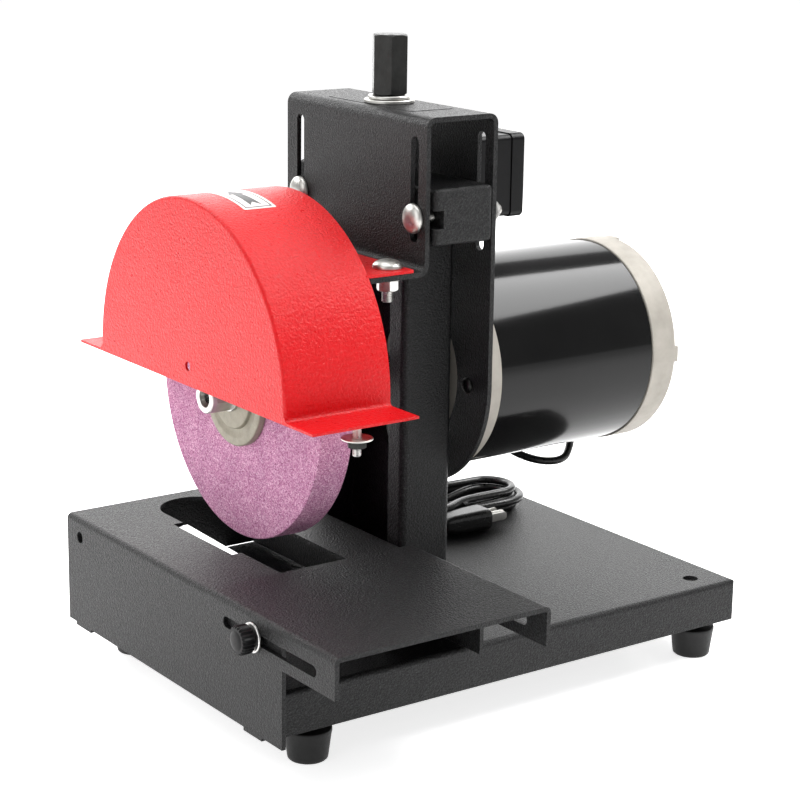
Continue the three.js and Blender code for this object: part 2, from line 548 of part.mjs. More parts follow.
function makeSwitchBox() {
  const { x0, x1, y0, y1, z0, z1, seam } = BOX;
  const wall = 2.2;
  const round = [4, 4, 4, 4];
  const inRound = [2, 2, 2, 2];
  let box = pulled('x', roundedRect(y0, y1, z0, z1, round), x0, seam)
    .subtract(pulled('x', roundedRect(y0 + wall, y1 - wall, z0 + wall, z1 - wall, inRound), x0 + wall, seam + 1));
  const exit = [BOX.x0 + 14, BOX.y1 - 14];
  box = box.add(rod('z', 5.6, z0 - 12, z0 + wall, exit, 18)).subtract(rod('z', 2.2, z0 - 13, z0 + wall + 1, exit, 12));
  add('switch_box', box, FINISH.plastic);
  const coverFrom = seam + GAP;
  const middle = (y0 + y1) / 2;
  const level = (z0 + z1) / 2;
  let cover = pulled('x', roundedRect(y0 - 0.8, y1 + 0.8, z0 - 0.8, z1 + 0.8, round), coverFrom, x1)
    .subtract(pulled('x', roundedRect(y0 + 1.5, y1 - 1.5, z0 + 1.5, z1 - 1.5, inRound), coverFrom - 1, x1 - wall));
  cover = cover.subtract(block(x1 - wall - 1, x1 + 1, middle - 12, middle + 12, level - 16, level + 16));
  add('switch_cover', cover, FINISH.plastic);
  const pivot = x1 - 3;
  const rocker = roundedRect(middle - 11, middle + 11, level - 13.5, level + 13.5, [1, 1, 1, 1]);
  add('switch_rocker', pulled('x', rocker, pivot - 1, x1 + 1.6)
    .subtract(block(x1 - 0.2, x1 + 3, middle - 12, middle + 12, level - 2.5, level + 2.5)), FINISH.plastic);
  add('capacitor', turned('x', [
    [0, x0 + 4], [15, x0 + 4], [15, x0 + 30], [0, x0 + 30],
  ], [y0 + 20, level], 20), FINISH.castAlloy);
}

// ---- leads -------------------------------------------------------------------------------

function tube(points, radius, steps, sides = 8) {
  const curve = new THREE.CatmullRomCurve3(points.map((p) => new THREE.Vector3(...p)), false, 'centripetal');
  const section = new THREE.Shape();
  for (let i = 0; i < sides; i += 1) {
    const angle = (2 * Math.PI * i) / sides;
    const at = [radius * Math.cos(angle), radius * Math.sin(angle)];
    if (i) section.lineTo(...at);
    else section.moveTo(...at);
  }
  return solid(new THREE.ExtrudeGeometry(section, { extrudePath: curve, steps, bevelEnabled: false }));
}

// The short lead from the switch box runs down behind the motor and enters it from below.
function makeMotorCable() {
  const around = MOTOR.radius + 7;
  const at = (degrees, x, extra = 0) => {
    const angle = (degrees * Math.PI) / 180;
    return [x, AXIS.y + (around + extra) * Math.cos(angle), AXIS.z + (around + extra) * Math.sin(angle)];
  };
  const start = [BOX.x0 + 14, BOX.y1 - 14, BOX.z0 - 12 - 2 * GAP];
  const route = [
    start, [start[0], start[1], start[2] - 6], [start[0] + 3, start[1] + 5, start[2] - 13],
    at(70, 258, 2), at(45, 276), at(20, 292), at(-5, 304), at(-30, 314), at(-52, 324, 4),
    at(-70, 334, 11), at(-84, 350, 13), at(-88, 365, 11), at(-85, 374.5, 4), at(-84, 376.5, -3),
  ];
  add('motor_cable', tube(route, 3, 44), FINISH.cordPvc);
}

// The mains lead leaves the column's back web and drops on to the hank.
function leadRoute() {
  const x = COLUMN.x1 + 26 + GAP;
  const { y, z } = GLAND;
  return [
    [x, y, z], [x + 7, y, z], [x + 15, y + 1.6, z - 1.4], [x + 24, y + 5.5, z - 4.5],
    [x + 33, y + 10, z - 8], [x + 41, y + 13, z - 10.4], [x + 50, y + 14, z - 11],
  ];
}

function makeMainsLead() {
  const floor = TRAY.height + GAP;
  add('lead_gland', turned('x', [
    [0, COLUMN.x1 - PLATE - 6], [6, COLUMN.x1 - PLATE - 6], [6, COLUMN.x1 + GAP], [8.5, COLUMN.x1 + GAP],
    [8.5, COLUMN.x1 + 4], [6.4, COLUMN.x1 + 5], [4.6, COLUMN.x1 + 26 - GAP], [0, COLUMN.x1 + 26 - GAP],
  ], [GLAND.y, GLAND.z], 18), FINISH.rubber);
  add('cord_lead', tube(leadRoute(), LEAD.radius, 16), FINISH.cordPvc);
}

// The rest of the lead is folded into a flat oval hank that lies on the tray.
function makeHank() {
  const { x0, x1, y, outer, inner, height } = HANK;
  const z0 = TRAY.height + GAP;
  const ring = (r) => obround(x0 - r, x1 + r, y - r, y + r);
  add('cord_hank', pulled('z', ring(outer), z0, z0 + height, 8)
    .subtract(pulled('z', ring(inner), z0 - 1, z0 + height + 1, 8)), FINISH.cordPvc);
}

// Plug: body, two flat blades and a round earth pin, lying on the tray in front of the hank.
function makePlug() {
  const { x, y, z, length, width, height, relief } = PLUG;
  const centre = z + height / 2;
  let plug = pulled('x', roundedRect(y - width / 2, y + width / 2, z, z + height, [6, 6, 6, 6]), x, x + length)
    .add(rod('x', 5.4, x - relief, x + 2, [y, centre], 16));
  for (const side of [-1, 1]) {
    plug = plug.add(block(x + length - 1, x + length + 17, y + side * 6.35 - 0.75, y + side * 6.35 + 0.75, centre - 3.2, centre + 3.2));
  }
  plug = plug.add(rod('x', 2.4, x + length - 1, x + length + 19, [y, centre + 0.5], 12));
  add('mains_plug', plug, FINISH.cordPvc);
}

// From the hank's left end the lead turns round to the plug.
function tailRoute() {
  const z = TRAY.height + 3 * GAP + LEAD.radius;
  const { x, y, relief, height } = PLUG;
  const plugEnd = x - relief - GAP;
  return [
    [237.8, 219.4, z], [239.1, 215, z], [242.3, 209.3, z + 0.3], [247.2, 204.4, z + 1], [253.5, 201, z + 2.4],
    [260, y + 0.4, z + 3.8], [plugEnd - 4, y, PLUG.z + height / 2 - 0.2], [plugEnd, y, PLUG.z + height / 2],
  ];
}

makeTray();
makeBed();
makeFeet();
makeTable();
makeTableKnob();
makeColumn();
makeCrossbar();
makeGuideBolts();
makeLiftScrew();
makeHeadBracket();
makeGuard();
makeDeflectorStud();
makeWheel();
makeMotor();
makeSwitchBox();
makeMotorCable();
makeMainsLead();
makeHank();
makePlug();
add('cord_tail', tube(tailRoute(), LEAD.radius, 12), FINISH.cordPvc);

// ---- origin --------------------------------------------------------------------------------

const box = new THREE.Box3();
for (const mesh of grinder.children) {
  if (!cordNames.includes(mesh.name)) box.expandByObject(mesh);
}
const middle = box.getCenter(new THREE.Vector3());
grinder.position.set(-middle.x, -middle.y, -box.min.z);

export default grinder;
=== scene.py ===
"""Looks of a single-wheel blade grinder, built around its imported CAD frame.

Lengths are millimetres in the frame's own axes, counted from the bed's left face (x), the
tray's front face (y) and the tray's lower edge (z), and become metres when a mesh is made.
"""
import math

import bmesh
import bpy
from mathutils import Matrix, Vector


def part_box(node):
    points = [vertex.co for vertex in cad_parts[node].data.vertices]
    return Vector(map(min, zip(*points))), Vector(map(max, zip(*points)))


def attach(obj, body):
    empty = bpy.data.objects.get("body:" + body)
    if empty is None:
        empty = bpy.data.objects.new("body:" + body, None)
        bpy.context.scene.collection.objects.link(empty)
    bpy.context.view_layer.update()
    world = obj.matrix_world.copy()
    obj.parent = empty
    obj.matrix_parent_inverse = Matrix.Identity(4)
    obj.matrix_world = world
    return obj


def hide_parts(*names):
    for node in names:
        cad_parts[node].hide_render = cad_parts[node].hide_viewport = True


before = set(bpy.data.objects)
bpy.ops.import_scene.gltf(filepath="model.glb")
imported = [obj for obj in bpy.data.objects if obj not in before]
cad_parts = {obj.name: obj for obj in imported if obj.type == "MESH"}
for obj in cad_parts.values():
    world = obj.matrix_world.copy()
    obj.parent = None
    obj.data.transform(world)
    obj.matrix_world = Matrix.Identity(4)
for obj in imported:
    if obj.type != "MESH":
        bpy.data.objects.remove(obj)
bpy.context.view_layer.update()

MM = 0.001
TRAY_HEIGHT = 30.5
ORIGIN = Vector((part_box("bed_channel")[0].x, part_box("base_tray")[0].y,
    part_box("base_tray")[1].z - TRAY_HEIGHT * MM))


def box(node):
    """Lowest and highest corner of a CAD node, in millimetres from ORIGIN."""
    return [(corner - ORIGIN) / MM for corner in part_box(node)]


def metres(point):
    return ORIGIN + Vector(point) * MM


# ---- driving sizes ----

GAP = 0.3
SHEET = 3.0
PLATE = 3.5
TRAY_LOW, TRAY_HIGH = box("base_tray")
BED_LOW, BED_HIGH = box("bed_channel")
TABLE_LOW, TABLE_HIGH = box("slide_table")
COLUMN_LOW, COLUMN_HIGH = box("column")
BAR_LOW, BAR_HIGH = box("crossbar")
HEAD_LOW, HEAD_HIGH = box("head_bracket")
GUARD_LOW, GUARD_HIGH = box("guard")
WHEEL_LOW, WHEEL_HIGH = box("grinding_wheel")
SHELL_LOW, SHELL_HIGH = box("motor_shell")
AXIS = ((WHEEL_LOW.y + WHEEL_HIGH.y) / 2, (WHEEL_LOW.z + WHEEL_HIGH.z) / 2)
SLOT = {"x": 84.5, "half": 26.5, "front": 46, "back": 258}
WINDOW = {"width": 7.5, "front": 126, "back": 206}
KNOB = {"y": 12, "z": 67.5, "screw": 3}
HEAD_X0 = 160.5
HEAD_FLANGE = 271.5
ARCH = {"y": 155, "z": 200.5, "radius": 121.6, "skin": 1.8}
PLATE_ARC = {"y": 144, "z": 187, "radius": 84}
GUIDE = {"ys": (73, 211), "z": 309, "low": 293, "right_low": 282, "high": 363.5}
GUARD_BOLTS = {"x": 141, "ys": (75, 205)}
FOOT = {"left": 43, "right": 382, "front": 20, "tab": 11, "seat": -12.3, "neck": 9, "shoulder": -6}
OUTLET = [(40, 22), (143.3, 22), (97.9, 54), (71, 54)]
TRAY_HOLE = 378
OUTLET_REACH = 52
GUARD_HOLE = {"place": (154, 208), "radius": 3.2}
SWITCH_EXIT = (233.8, 134)
FLOOR = -28.05
BEND = 4.0
HEX = (189, 143)
MOTOR_SCREW_CIRCLE = 68
CORD_RADIUS = 3.2
M6, M8, M12 = (2.95, 1.0, 0.35), (3.95, 1.25, 0.5), (5.95, 1.75, 0.7)    # thread radius, pitch and depth
M6_HOLE, M8_HOLE, M12_HOLE = 3.4, 4.3, 6.3

# ---- camera ----

CAMERA = {"place": (-672.2, -1069.6, 553.5), "azimuth": -35.78, "elevation": 14.63, "roll": 0.83,
    "lens": 97.0}


def make_camera():
    azimuth, elevation, roll = (math.radians(CAMERA[k]) for k in ("azimuth", "elevation", "roll"))
    back = Vector((math.sin(azimuth) * math.cos(elevation), -math.cos(azimuth) * math.cos(elevation),
        math.sin(elevation)))
    right = Vector((math.cos(azimuth), math.sin(azimuth), 0))
    up = back.cross(right)
    turned_right = right * math.cos(roll) + up * math.sin(roll)
    turned_up = up * math.cos(roll) - right * math.sin(roll)
    data = bpy.data.cameras.new("camera")
    data.lens = CAMERA["lens"]
    data.sensor_width = 36
    data.clip_end = 50
    camera = bpy.data.objects.new("camera", data)
    turn = Matrix((turned_right, turned_up, back)).transposed().to_4x4()
    camera.matrix_world = Matrix.Translation(metres(CAMERA["place"])) @ turn
    bpy.context.scene.collection.objects.link(camera)
    bpy.context.scene.camera = camera


make_camera()

# ---- materials ----


class Paint:
    """A Principled material with helpers for procedural detail in object space (metres)."""

    def __init__(self, name, color, roughness, **sockets):
        self.material = bpy.data.materials.new(name)
        self.material.use_nodes = True
        self.tree = self.material.node_tree
        self.shader = self.tree.nodes["Principled BSDF"]
        self.place = self.node("ShaderNodeTexCoord").outputs["Object"]
        self.shader.inputs["Base Color"].default_value = (*color, 1)
        self.shader.inputs["Roughness"].default_value = roughness
        for socket, value in sockets.items():
            self.shader.inputs[socket.replace("_", " ")].default_value = value

    def node(self, kind, **values):
        node = self.tree.nodes.new(kind)
        for key, value in values.items():
            setattr(node, key, value)
        return node

    def link(self, source, target):
        self.tree.links.new(source, target)

    def stretched(self, scale):
        mapping = self.node("ShaderNodeMapping")
        mapping.inputs["Scale"].default_value = scale
        self.link(self.place, mapping.inputs["Vector"])
        return mapping.outputs["Vector"]

    def noise(self, scale, detail=2.0, rough=0.5, distortion=0.0, place=None):
        node = self.node("ShaderNodeTexNoise")
        node.inputs["Scale"].default_value = scale
        node.inputs["Detail"].default_value = detail
        node.inputs["Roughness"].default_value = rough
        node.inputs["Distortion"].default_value = distortion
        self.link(place or self.place, node.inputs["Vector"])
        return node.outputs["Fac"]

    def cells(self, scale, output="Distance", feature="F1", place=None):
        node = self.node("ShaderNodeTexVoronoi", feature=feature)
        node.inputs["Scale"].default_value = scale
        self.link(place or self.place, node.inputs["Vector"])
        return node.outputs[output]

    def ramp(self, source, stops):
        node = self.node("ShaderNodeValToRGB")
        elements = node.color_ramp.elements
        while len(elements) < len(stops):
            elements.new(0.5)
        for element, (position, color) in zip(elements, stops):
            element.position = position
            element.color = (*color, 1) if len(color) == 3 else color
        self.link(source, node.inputs["Fac"])
        return node.outputs["Color"]

    def spread(self, source, low, high, start=0.3, end=0.7):
        node = self.node("ShaderNodeMapRange")
        for socket, value in zip(("From Min", "From Max", "To Min", "To Max"), (start, end, low, high)):
            node.inputs[socket].default_value = value
        self.link(source, node.inputs["Value"])
        return node.outputs["Result"]

    def mix(self, factor, first, second, blend="MIX"):
        node = self.node("ShaderNodeMix", data_type="RGBA", blend_type=blend)
        for key, value in (("Factor", factor), ("A", first), ("B", second)):
            kind = "VALUE" if key == "Factor" else "RGBA"
            socket = next(s for s in node.inputs if s.name == key and s.type == kind)
            if isinstance(value, (int, float, tuple)):
                socket.default_value = (*value, 1) if isinstance(value, tuple) else value
            else:
                self.link(value, socket)
        return next(s for s in node.outputs if s.type == "RGBA")

    def color(self, source):
        self.link(source, self.shader.inputs["Base Color"])
        return self

    def mottled(self, source, low, high, start=0.3, end=0.7):
        return self.color(self.ramp(source, [(start, low), (end, high)]))

    def rough(self, source):
        self.link(source, self.shader.inputs["Roughness"])
        return self

    def bump(self, height, strength, distance):
        node = self.node("ShaderNodeBump")
        node.inputs["Strength"].default_value = strength
        node.inputs["Distance"].default_value = distance
        self.link(height, node.inputs["Height"])
        target = self.shader.inputs["Normal"]
        if target.links:
            self.link(target.links[0].from_socket, node.inputs["Normal"])
        self.link(node.outputs["Normal"], target)
        return self


def black_powder_coat():
    p = Paint("black_powder_coat", (0.008, 0.008, 0.0083), 0.42, Specular_IOR_Level=0.27)
    p.mottled(p.noise(950, 3, 0.6), (0.002, 0.002, 0.0022), (0.030, 0.030, 0.031), 0.45, 0.72)
    p.rough(p.spread(p.noise(700, 2), 0.3, 0.48))
    return p.bump(p.noise(700, 3, 0.6), 1.0, 0.001).bump(p.noise(1900, 2), 0.4, 0.0002).material


def red_powder_coat():
    p = Paint("red_powder_coat", (0.66, 0.002, 0.005), 0.3, Specular_IOR_Level=0.3)
    p.mottled(p.noise(420, 3), (0.62, 0.001, 0.003), (0.70, 0.003, 0.007))
    p.rough(p.spread(p.noise(300, 3), 0.27, 0.38))
    return p.bump(p.noise(520, 3, 0.55, 0.3), 1.0, 0.001).bump(p.noise(1100, 2), 0.4, 0.0003).material


def abrasive():
    p = Paint("abrasive", (0.55, 0.23, 0.42), 0.92, Specular_IOR_Level=0.3)
    grains = p.ramp(p.cells(1350, "Color"), [
        (0.0, (0.22, 0.06, 0.14)), (0.25, (0.46, 0.17, 0.31)), (0.6, (0.64, 0.30, 0.48)),
            (1.0, (0.92, 0.66, 0.80))])
    cloudy = p.ramp(p.noise(55, 4), [(0.35, (0.88, 0.86, 0.88)), (0.65, (1, 1, 1))])
    p.color(p.mix(1.0, grains, cloudy, "MULTIPLY"))
    return p.bump(p.cells(1350), 0.6, 0.0005).bump(p.noise(2600, 3), 0.4, 0.0003).material


def metal(name, color, roughness, scratch=0.25, scale=(1, 1, 1), tint=0.12, metallic=1.0, **sockets):
    p = Paint(name, color, roughness, Metallic=metallic, **sockets)
    dark = tuple(c * (1 - tint) for c in color)
    light = tuple(min(1, c * (1 + tint)) for c in color)
    p.mottled(p.noise(160, 4), dark, light)
    brushed = p.noise(900, 3, 0.6, place=p.stretched(scale))
    p.rough(p.spread(brushed, roughness * 0.75, roughness * 1.3))
    return p.bump(brushed, scratch, 0.00012).material


def cast_alloy():
    p = Paint("cast_alloy", (0.40, 0.375, 0.33), 0.6, Metallic=0.2)
    p.mottled(p.noise(70, 5), (0.36, 0.335, 0.295), (0.45, 0.42, 0.375))
    p.rough(p.spread(p.noise(300, 3), 0.52, 0.68))
    return p.bump(p.noise(1500, 4, 0.7), 0.35, 0.0003).bump(p.noise(160, 3), 0.15, 0.0006).material


def gloss_black():
    p = Paint("gloss_black", (0.004, 0.004, 0.0042), 0.12, Specular_IOR_Level=0.2, Coat_Weight=0.1,
        Coat_Roughness=0.05)
    p.mottled(p.noise(25, 4), (0.0035, 0.0035, 0.0036), (0.006, 0.006, 0.006))
    p.rough(p.spread(p.noise(40, 3, place=p.stretched((0.15, 1, 1))), 0.10, 0.16))
    return p.bump(p.noise(260, 2), 0.03, 0.0004).material


def moulded(name, color, roughness, grain=1400, depth=0.00015, **sockets):
    p = Paint(name, color, roughness, **sockets)
    p.mottled(p.noise(120, 4), tuple(c * 0.85 for c in color), tuple(c * 1.15 for c in color))
    p.rough(p.spread(p.noise(420, 3), roughness * 0.85, roughness * 1.15))
    return p.bump(p.noise(grain, 3, 0.6), 0.4, depth).material


MATERIALS = {
    "black_powder_coat": black_powder_coat(),
    "red_powder_coat": red_powder_coat(),
    "abrasive": abrasive(),
    "olive_flange": metal("olive_flange", (0.30, 0.275, 0.215), 0.52, 0.3, (0.4, 1, 1), metallic=0.3),
    "zinc": metal("zinc", (0.78, 0.77, 0.75), 0.34, 0.3),
    "machined_steel": metal("machined_steel", (0.56, 0.56, 0.55), 0.24, 0.3, (0.2, 1, 1)),
    "black_oxide": metal(
        "black_oxide", (0.035, 0.035, 0.034), 0.36, 0.3, (1, 1, 0.25), Specular_IOR_Level=0.3),
    "gloss_black": gloss_black(),
    "cast_alloy": cast_alloy(),
    "enamelled_copper": metal("enamelled_copper", (0.55, 0.22, 0.09), 0.35, 0.5, (0.2, 1, 1)),
    "capacitor_can": metal("capacitor_can", (0.6, 0.6, 0.6), 0.35),
    "black_plastic": moulded("black_plastic", (0.004, 0.004, 0.0044), 0.36, Specular_IOR_Level=0.18),
    "rubber": moulded("rubber", (0.007, 0.007, 0.007), 0.5, 900, 0.0002, Specular_IOR_Level=0.3),
    "cord_pvc": moulded("cord_pvc", (0.012, 0.012, 0.012), 0.3, 700, 0.0001, Specular_IOR_Level=0.6),
    "nickel": metal("nickel", (0.62, 0.61, 0.58), 0.36, 0.2, (0.3, 1, 1)),
    "label_white": moulded("label_white", (0.80, 0.72, 0.70), 0.35, 500, 0.00005),
    "label_black": moulded("label_black", (0.02, 0.02, 0.02), 0.35, 500, 0.00005),
}

# ---- mesh tools ----


def in_scene(obj):
    bpy.context.scene.collection.objects.link(obj)
    return obj


def mesh_object(name, points, faces):
    mesh = bpy.data.meshes.new(name)
    mesh.from_pydata([metres(p) for p in points], [], faces)
    work = bmesh.new()
    work.from_mesh(mesh)
    bmesh.ops.remove_doubles(work, verts=work.verts, dist=1e-6)
    bmesh.ops.recalc_face_normals(work, faces=work.faces)
    work.to_mesh(mesh)
    work.free()
    return in_scene(bpy.data.objects.new(name, mesh))


def place3(axis, u, v, t):
    """The point t along an axis, at (u, v) across it: (y, z) across x, (x, z) across y, (x, y) across z."""
    return {"x": (t, u, v), "y": (u, t, v), "z": (u, v, t)}[axis]


def pulled(axis, outline, low, high, name="solid"):
    """A prism of an outline of (u, v) points."""
    n = len(outline)
    points = [place3(axis, u, v, t) for t in (low, high) for u, v in outline]
    faces = [tuple(range(n)), tuple(range(n, 2 * n))]
    faces += [(i, (i + 1) % n, n + (i + 1) % n, n + i) for i in range(n)]
    return mesh_object(name, points, faces)


def lofted(axis, rings, name="solid"):
    """A closed solid through rings of equal length: each is (list of (u, v), t)."""
    n = len(rings[0][0])
    points = [place3(axis, u, v, t) for outline, t in rings for u, v in outline]
    faces = [tuple(range(n)), tuple(range(n * (len(rings) - 1), n * len(rings)))]
    for j in range(len(rings) - 1):
        faces += [(j * n + i, j * n + (i + 1) % n, (j + 1) * n + (i + 1) % n, (j + 1) * n + i)
            for i in range(n)]
    return mesh_object(name, points, faces)


def turned(axis, profile, centre, sides=64, name="solid"):
    """A turned solid from (radius, distance along the axis) points, open on the axis or a closed ring."""
    points, rows = [], []
    for r, t in profile:
        if r == 0:
            points.append(place3(axis, centre[0], centre[1], t))
            rows.append([len(points) - 1] * sides)
            continue
        rows.append(list(range(len(points), len(points) + sides)))
        points += [place3(axis, centre[0] + r * math.cos(a), centre[1] + r * math.sin(a), t)
            for a in (2 * math.pi * i / sides for i in range(sides))]
    pairs = list(zip(rows, rows[1:]))
    if profile[0][0] and profile[-1][0]:
        pairs.append((rows[-1], rows[0]))
    faces = []
    for a, b in pairs:
        for i in range(sides):
            k = (i + 1) % sides
            corners = list(dict.fromkeys((a[i], a[k], b[k], b[i])))
            if len(corners) > 2:
                faces.append(corners)
    return mesh_object(name, points, faces)


def block(x0, x1, y0, y1, z0, z1, name="solid"):
    return pulled("z", [(x0, y0), (x1, y0), (x1, y1), (x0, y1)], z0, z1, name)


def rod(axis, radius, low, high, centre, sides=40, name="solid"):
    return pulled(axis, circle(radius, centre, sides), low, high, name)


def circle(radius, centre, sides=40, start=0.0):
    return [(centre[0] + radius * math.cos(start + 2 * math.pi * i / sides), centre[1]
        + radius * math.sin(start + 2 * math.pi * i / sides)) for i in range(sides)]


def arc(centre, radius, start, end, steps=8):
    """Points on an arc, angles in degrees."""
    return [(centre[0] + radius * math.cos(math.radians(start + (end - start) * i / steps)), centre[1]
        + radius * math.sin(math.radians(start + (end - start) * i / steps))) for i in range(steps + 1)]


def rounded_rect(u0, u1, v0, v1, radii, steps=8):
    """Corners in the order low-low, high-low, high-high, low-high."""
    corners = (((u0, v0), (1, 1), 180), ((u1, v0), (-1, 1), 270), ((u1, v1), (-1, -1), 0),
        ((u0, v1), (1, -1), 90))
    outline = []
    for ((u, v), (su, sv), start), r in zip(corners, radii):
        outline += arc((u + su * r, v + sv * r), r, start, start + 90, steps) if r else [(u, v)]
    return outline


def obround(u0, u1, v0, v1, steps=14):
    r = min(u1 - u0, v1 - v0) / 2
    return rounded_rect(u0, u1, v0, v1, [r - 1e-3] * 4, steps)


def combine(target, others, operation):
    for other in others:
        change = target.modifiers.new("shape", "BOOLEAN")
        change.operation = operation
        change.solver = "EXACT"
        change.object = other
    apply_modifiers(target)
    for other in others:
        bpy.data.objects.remove(other)
    return target


def cut(target, *others):
    return combine(target, others, "DIFFERENCE")


def join(target, *others):
    return combine(target, others, "UNION")


def common(target, *others):
    return combine(target, others, "INTERSECT")


def apply_modifiers(obj):
    bpy.context.view_layer.update()
    done = bpy.data.meshes.new_from_object(obj.evaluated_get(bpy.context.evaluated_depsgraph_get()))
    obj.modifiers.clear()
    obj.data = done


def soften(obj, width, segments=2, angle=30):
    """Rounds the sharp edges and gives smooth shading that keeps flat faces flat."""
    if width:
        bevel = obj.modifiers.new("round", "BEVEL")
        bevel.width = width * MM
        bevel.segments = segments
        bevel.limit_method = "ANGLE"
        bevel.angle_limit = math.radians(angle)
        bevel.use_clamp_overlap = True
        bevel.miter_outer = "MITER_ARC"
        apply_modifiers(obj)
    obj.data.polygons.foreach_set("use_smooth", [True] * len(obj.data.polygons))
    obj.data.set_sharp_from_angle(angle=math.radians(42))
    weigh = obj.modifiers.new("weigh", "WEIGHTED_NORMAL")
    weigh.keep_sharp = True
    weigh.weight = 60
    apply_modifiers(obj)
    return obj


def finish_piece(obj, name, body, material, replaces=(), width=0.35, segments=2, angle=30):
    obj.name = name
    obj.data.name = name
    soften(obj, width, segments, angle)
    obj.data.materials.clear()
    obj.data.materials.append(MATERIALS[material])
    for polygon in obj.data.polygons:
        polygon.material_index = 0
    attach(obj, body)
    if replaces:
        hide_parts(*([replaces] if isinstance(replaces, str) else replaces))
    return obj


# ---- cords ----

LEAD_EXIT = (233.3, 194, 58)
LEAD_IN = [LEAD_EXIT, (240.3, 194, 58), (248.3, 195.6, 56.6), (257.3, 199.5, 53.5), (266.3, 204, 50),
    (274.3, 207, 47.6), (283.3, 208, 47), (291, 208.7, 47.3), (301, 211.6, 47.4), (313, 217.6, 47.4),
    (326, 221.3, 47.3)]
TAIL = [(237.6, 224.5, 34.3), (237.8, 219.4, 34.6), (239.1, 215, 34.6), (242.3, 209.3, 34.9),
    (247.2, 204.4, 35.6), (253.5, 201, 37), (260, 199.4, 38.4), (264.7, 199, 39.1), (268.7, 199, 39.3)]
HANK = {"x0": 263.1, "x1": 361.0, "y": 241.0, "inner": 19.2, "outer": 25.9, "low": 34.1, "layer": 6.55}


def smooth(t):
    t = min(1, max(0, t))
    return t * t * (3 - 2 * t)


def hank_points():
    """The stored turns: each stage is a stretch of the oval with its track and layer at both ends."""
    x0, x1, y, inner, outer = (HANK[k] for k in ("x0", "x1", "y", "inner", "outer"))
    layer = lambda n: HANK["low"] + n * HANK["layer"]
    stages = [
        ("right", inner, inner, 2, 2, 0, 1), ("back", inner, outer, 2, 2, 0, 1),
            ("left", outer, outer, 2, 2, 0, 1),
        ("front", outer, outer, 2, 1, 0, 0.4), ("right", outer, outer, 1, 1, 0, 1),
        ("back", outer, inner, 1, 1, 0.5, 1), ("left", inner, inner, 1, 1, 0, 1),
            ("front", inner, inner, 1, 1, 0, 1),
        ("right", inner, inner, 1, 1, 0, 1), ("back", inner, inner, 1, 0, 0, 0.44),
            ("left", inner, inner, 0, 0, 0, 1),
        ("front", inner, inner, 0, 0, 0, 1), ("right", inner, outer, 0, 0, 0, 1),
            ("back", outer, outer, 0, 0, 0, 1),
        ("left_half", outer, outer, 0, 0, 0, 1),
    ]
    points = []
    for side, r0, r1, n0, n1, start, end in stages:
        steps = 12 if side in ("front", "back") else 14
        for i in range(steps):
            t = i / steps
            share = smooth((t - start) / (end - start))
            r = r0 + (r1 - r0) * share
            z = layer(n0 + (n1 - n0) * share)
            if side == "front":
                points.append((x0 + (x1 - x0) * t, y - r, z))
            elif side == "back":
                points.append((x1 - (x1 - x0) * t, y + r, z))
            elif side == "right":
                angle = math.radians(-90 + 180 * t)
                points.append((x1 + r * math.cos(angle), y + r * math.sin(angle), z))
            else:
                sweep = 90 if side == "left_half" else 180
                angle = math.radians(90 + sweep * t)
                points.append((x0 + r * math.cos(angle), y + r * math.sin(angle), z))
    return points + [(x0 - outer + 0.02, y, layer(0)), (x0 - outer + 0.1, y - 8, layer(0))]


def through(points, per_span=6):
    """A smooth centripetal curve through points."""
    points = [Vector(p) for p in points]
    padded = [2 * points[0] - points[1], *points, 2 * points[-1] - points[-2]]
    curve = []
    for a, b, c, d in zip(padded, padded[1:], padded[2:], padded[3:]):
        t1 = (b - a).length ** 0.5
        t2 = t1 + (c - b).length ** 0.5
        t3 = t2 + (d - c).length ** 0.5
        for i in range(per_span):
            t = t1 + (t2 - t1) * i / per_span
            p = a * ((t1 - t) / t1) + b * (t / t1)
            q = b * ((t2 - t) / (t2 - t1)) + c * ((t - t1) / (t2 - t1))
            r = c * ((t3 - t) / (t3 - t2)) + d * ((t - t2) / (t3 - t2))
            s = p * ((t2 - t) / t2) + q * (t / t2)
            u = q * ((t3 - t) / (t3 - t1)) + r * ((t - t1) / (t3 - t1))
            curve.append(s * ((t2 - t) / (t2 - t1)) + u * ((t - t1) / (t2 - t1)))
    return curve + [points[-1]]


def cord_curve(name, points, radius):
    data = bpy.data.curves.new(name, "CURVE")
    data.dimensions = "3D"
    data.bevel_depth = radius * MM
    data.bevel_resolution = 5
    data.use_fill_caps = True
    spline = data.splines.new("POLY")
    spline.points.add(len(points) - 1)
    for target, point in zip(spline.points, points):
        target.co = (*metres(point), 1)
    spline.use_smooth = True
    data.materials.append(MATERIALS["cord_pvc"])
    return in_scene(bpy.data.objects.new(name, data))


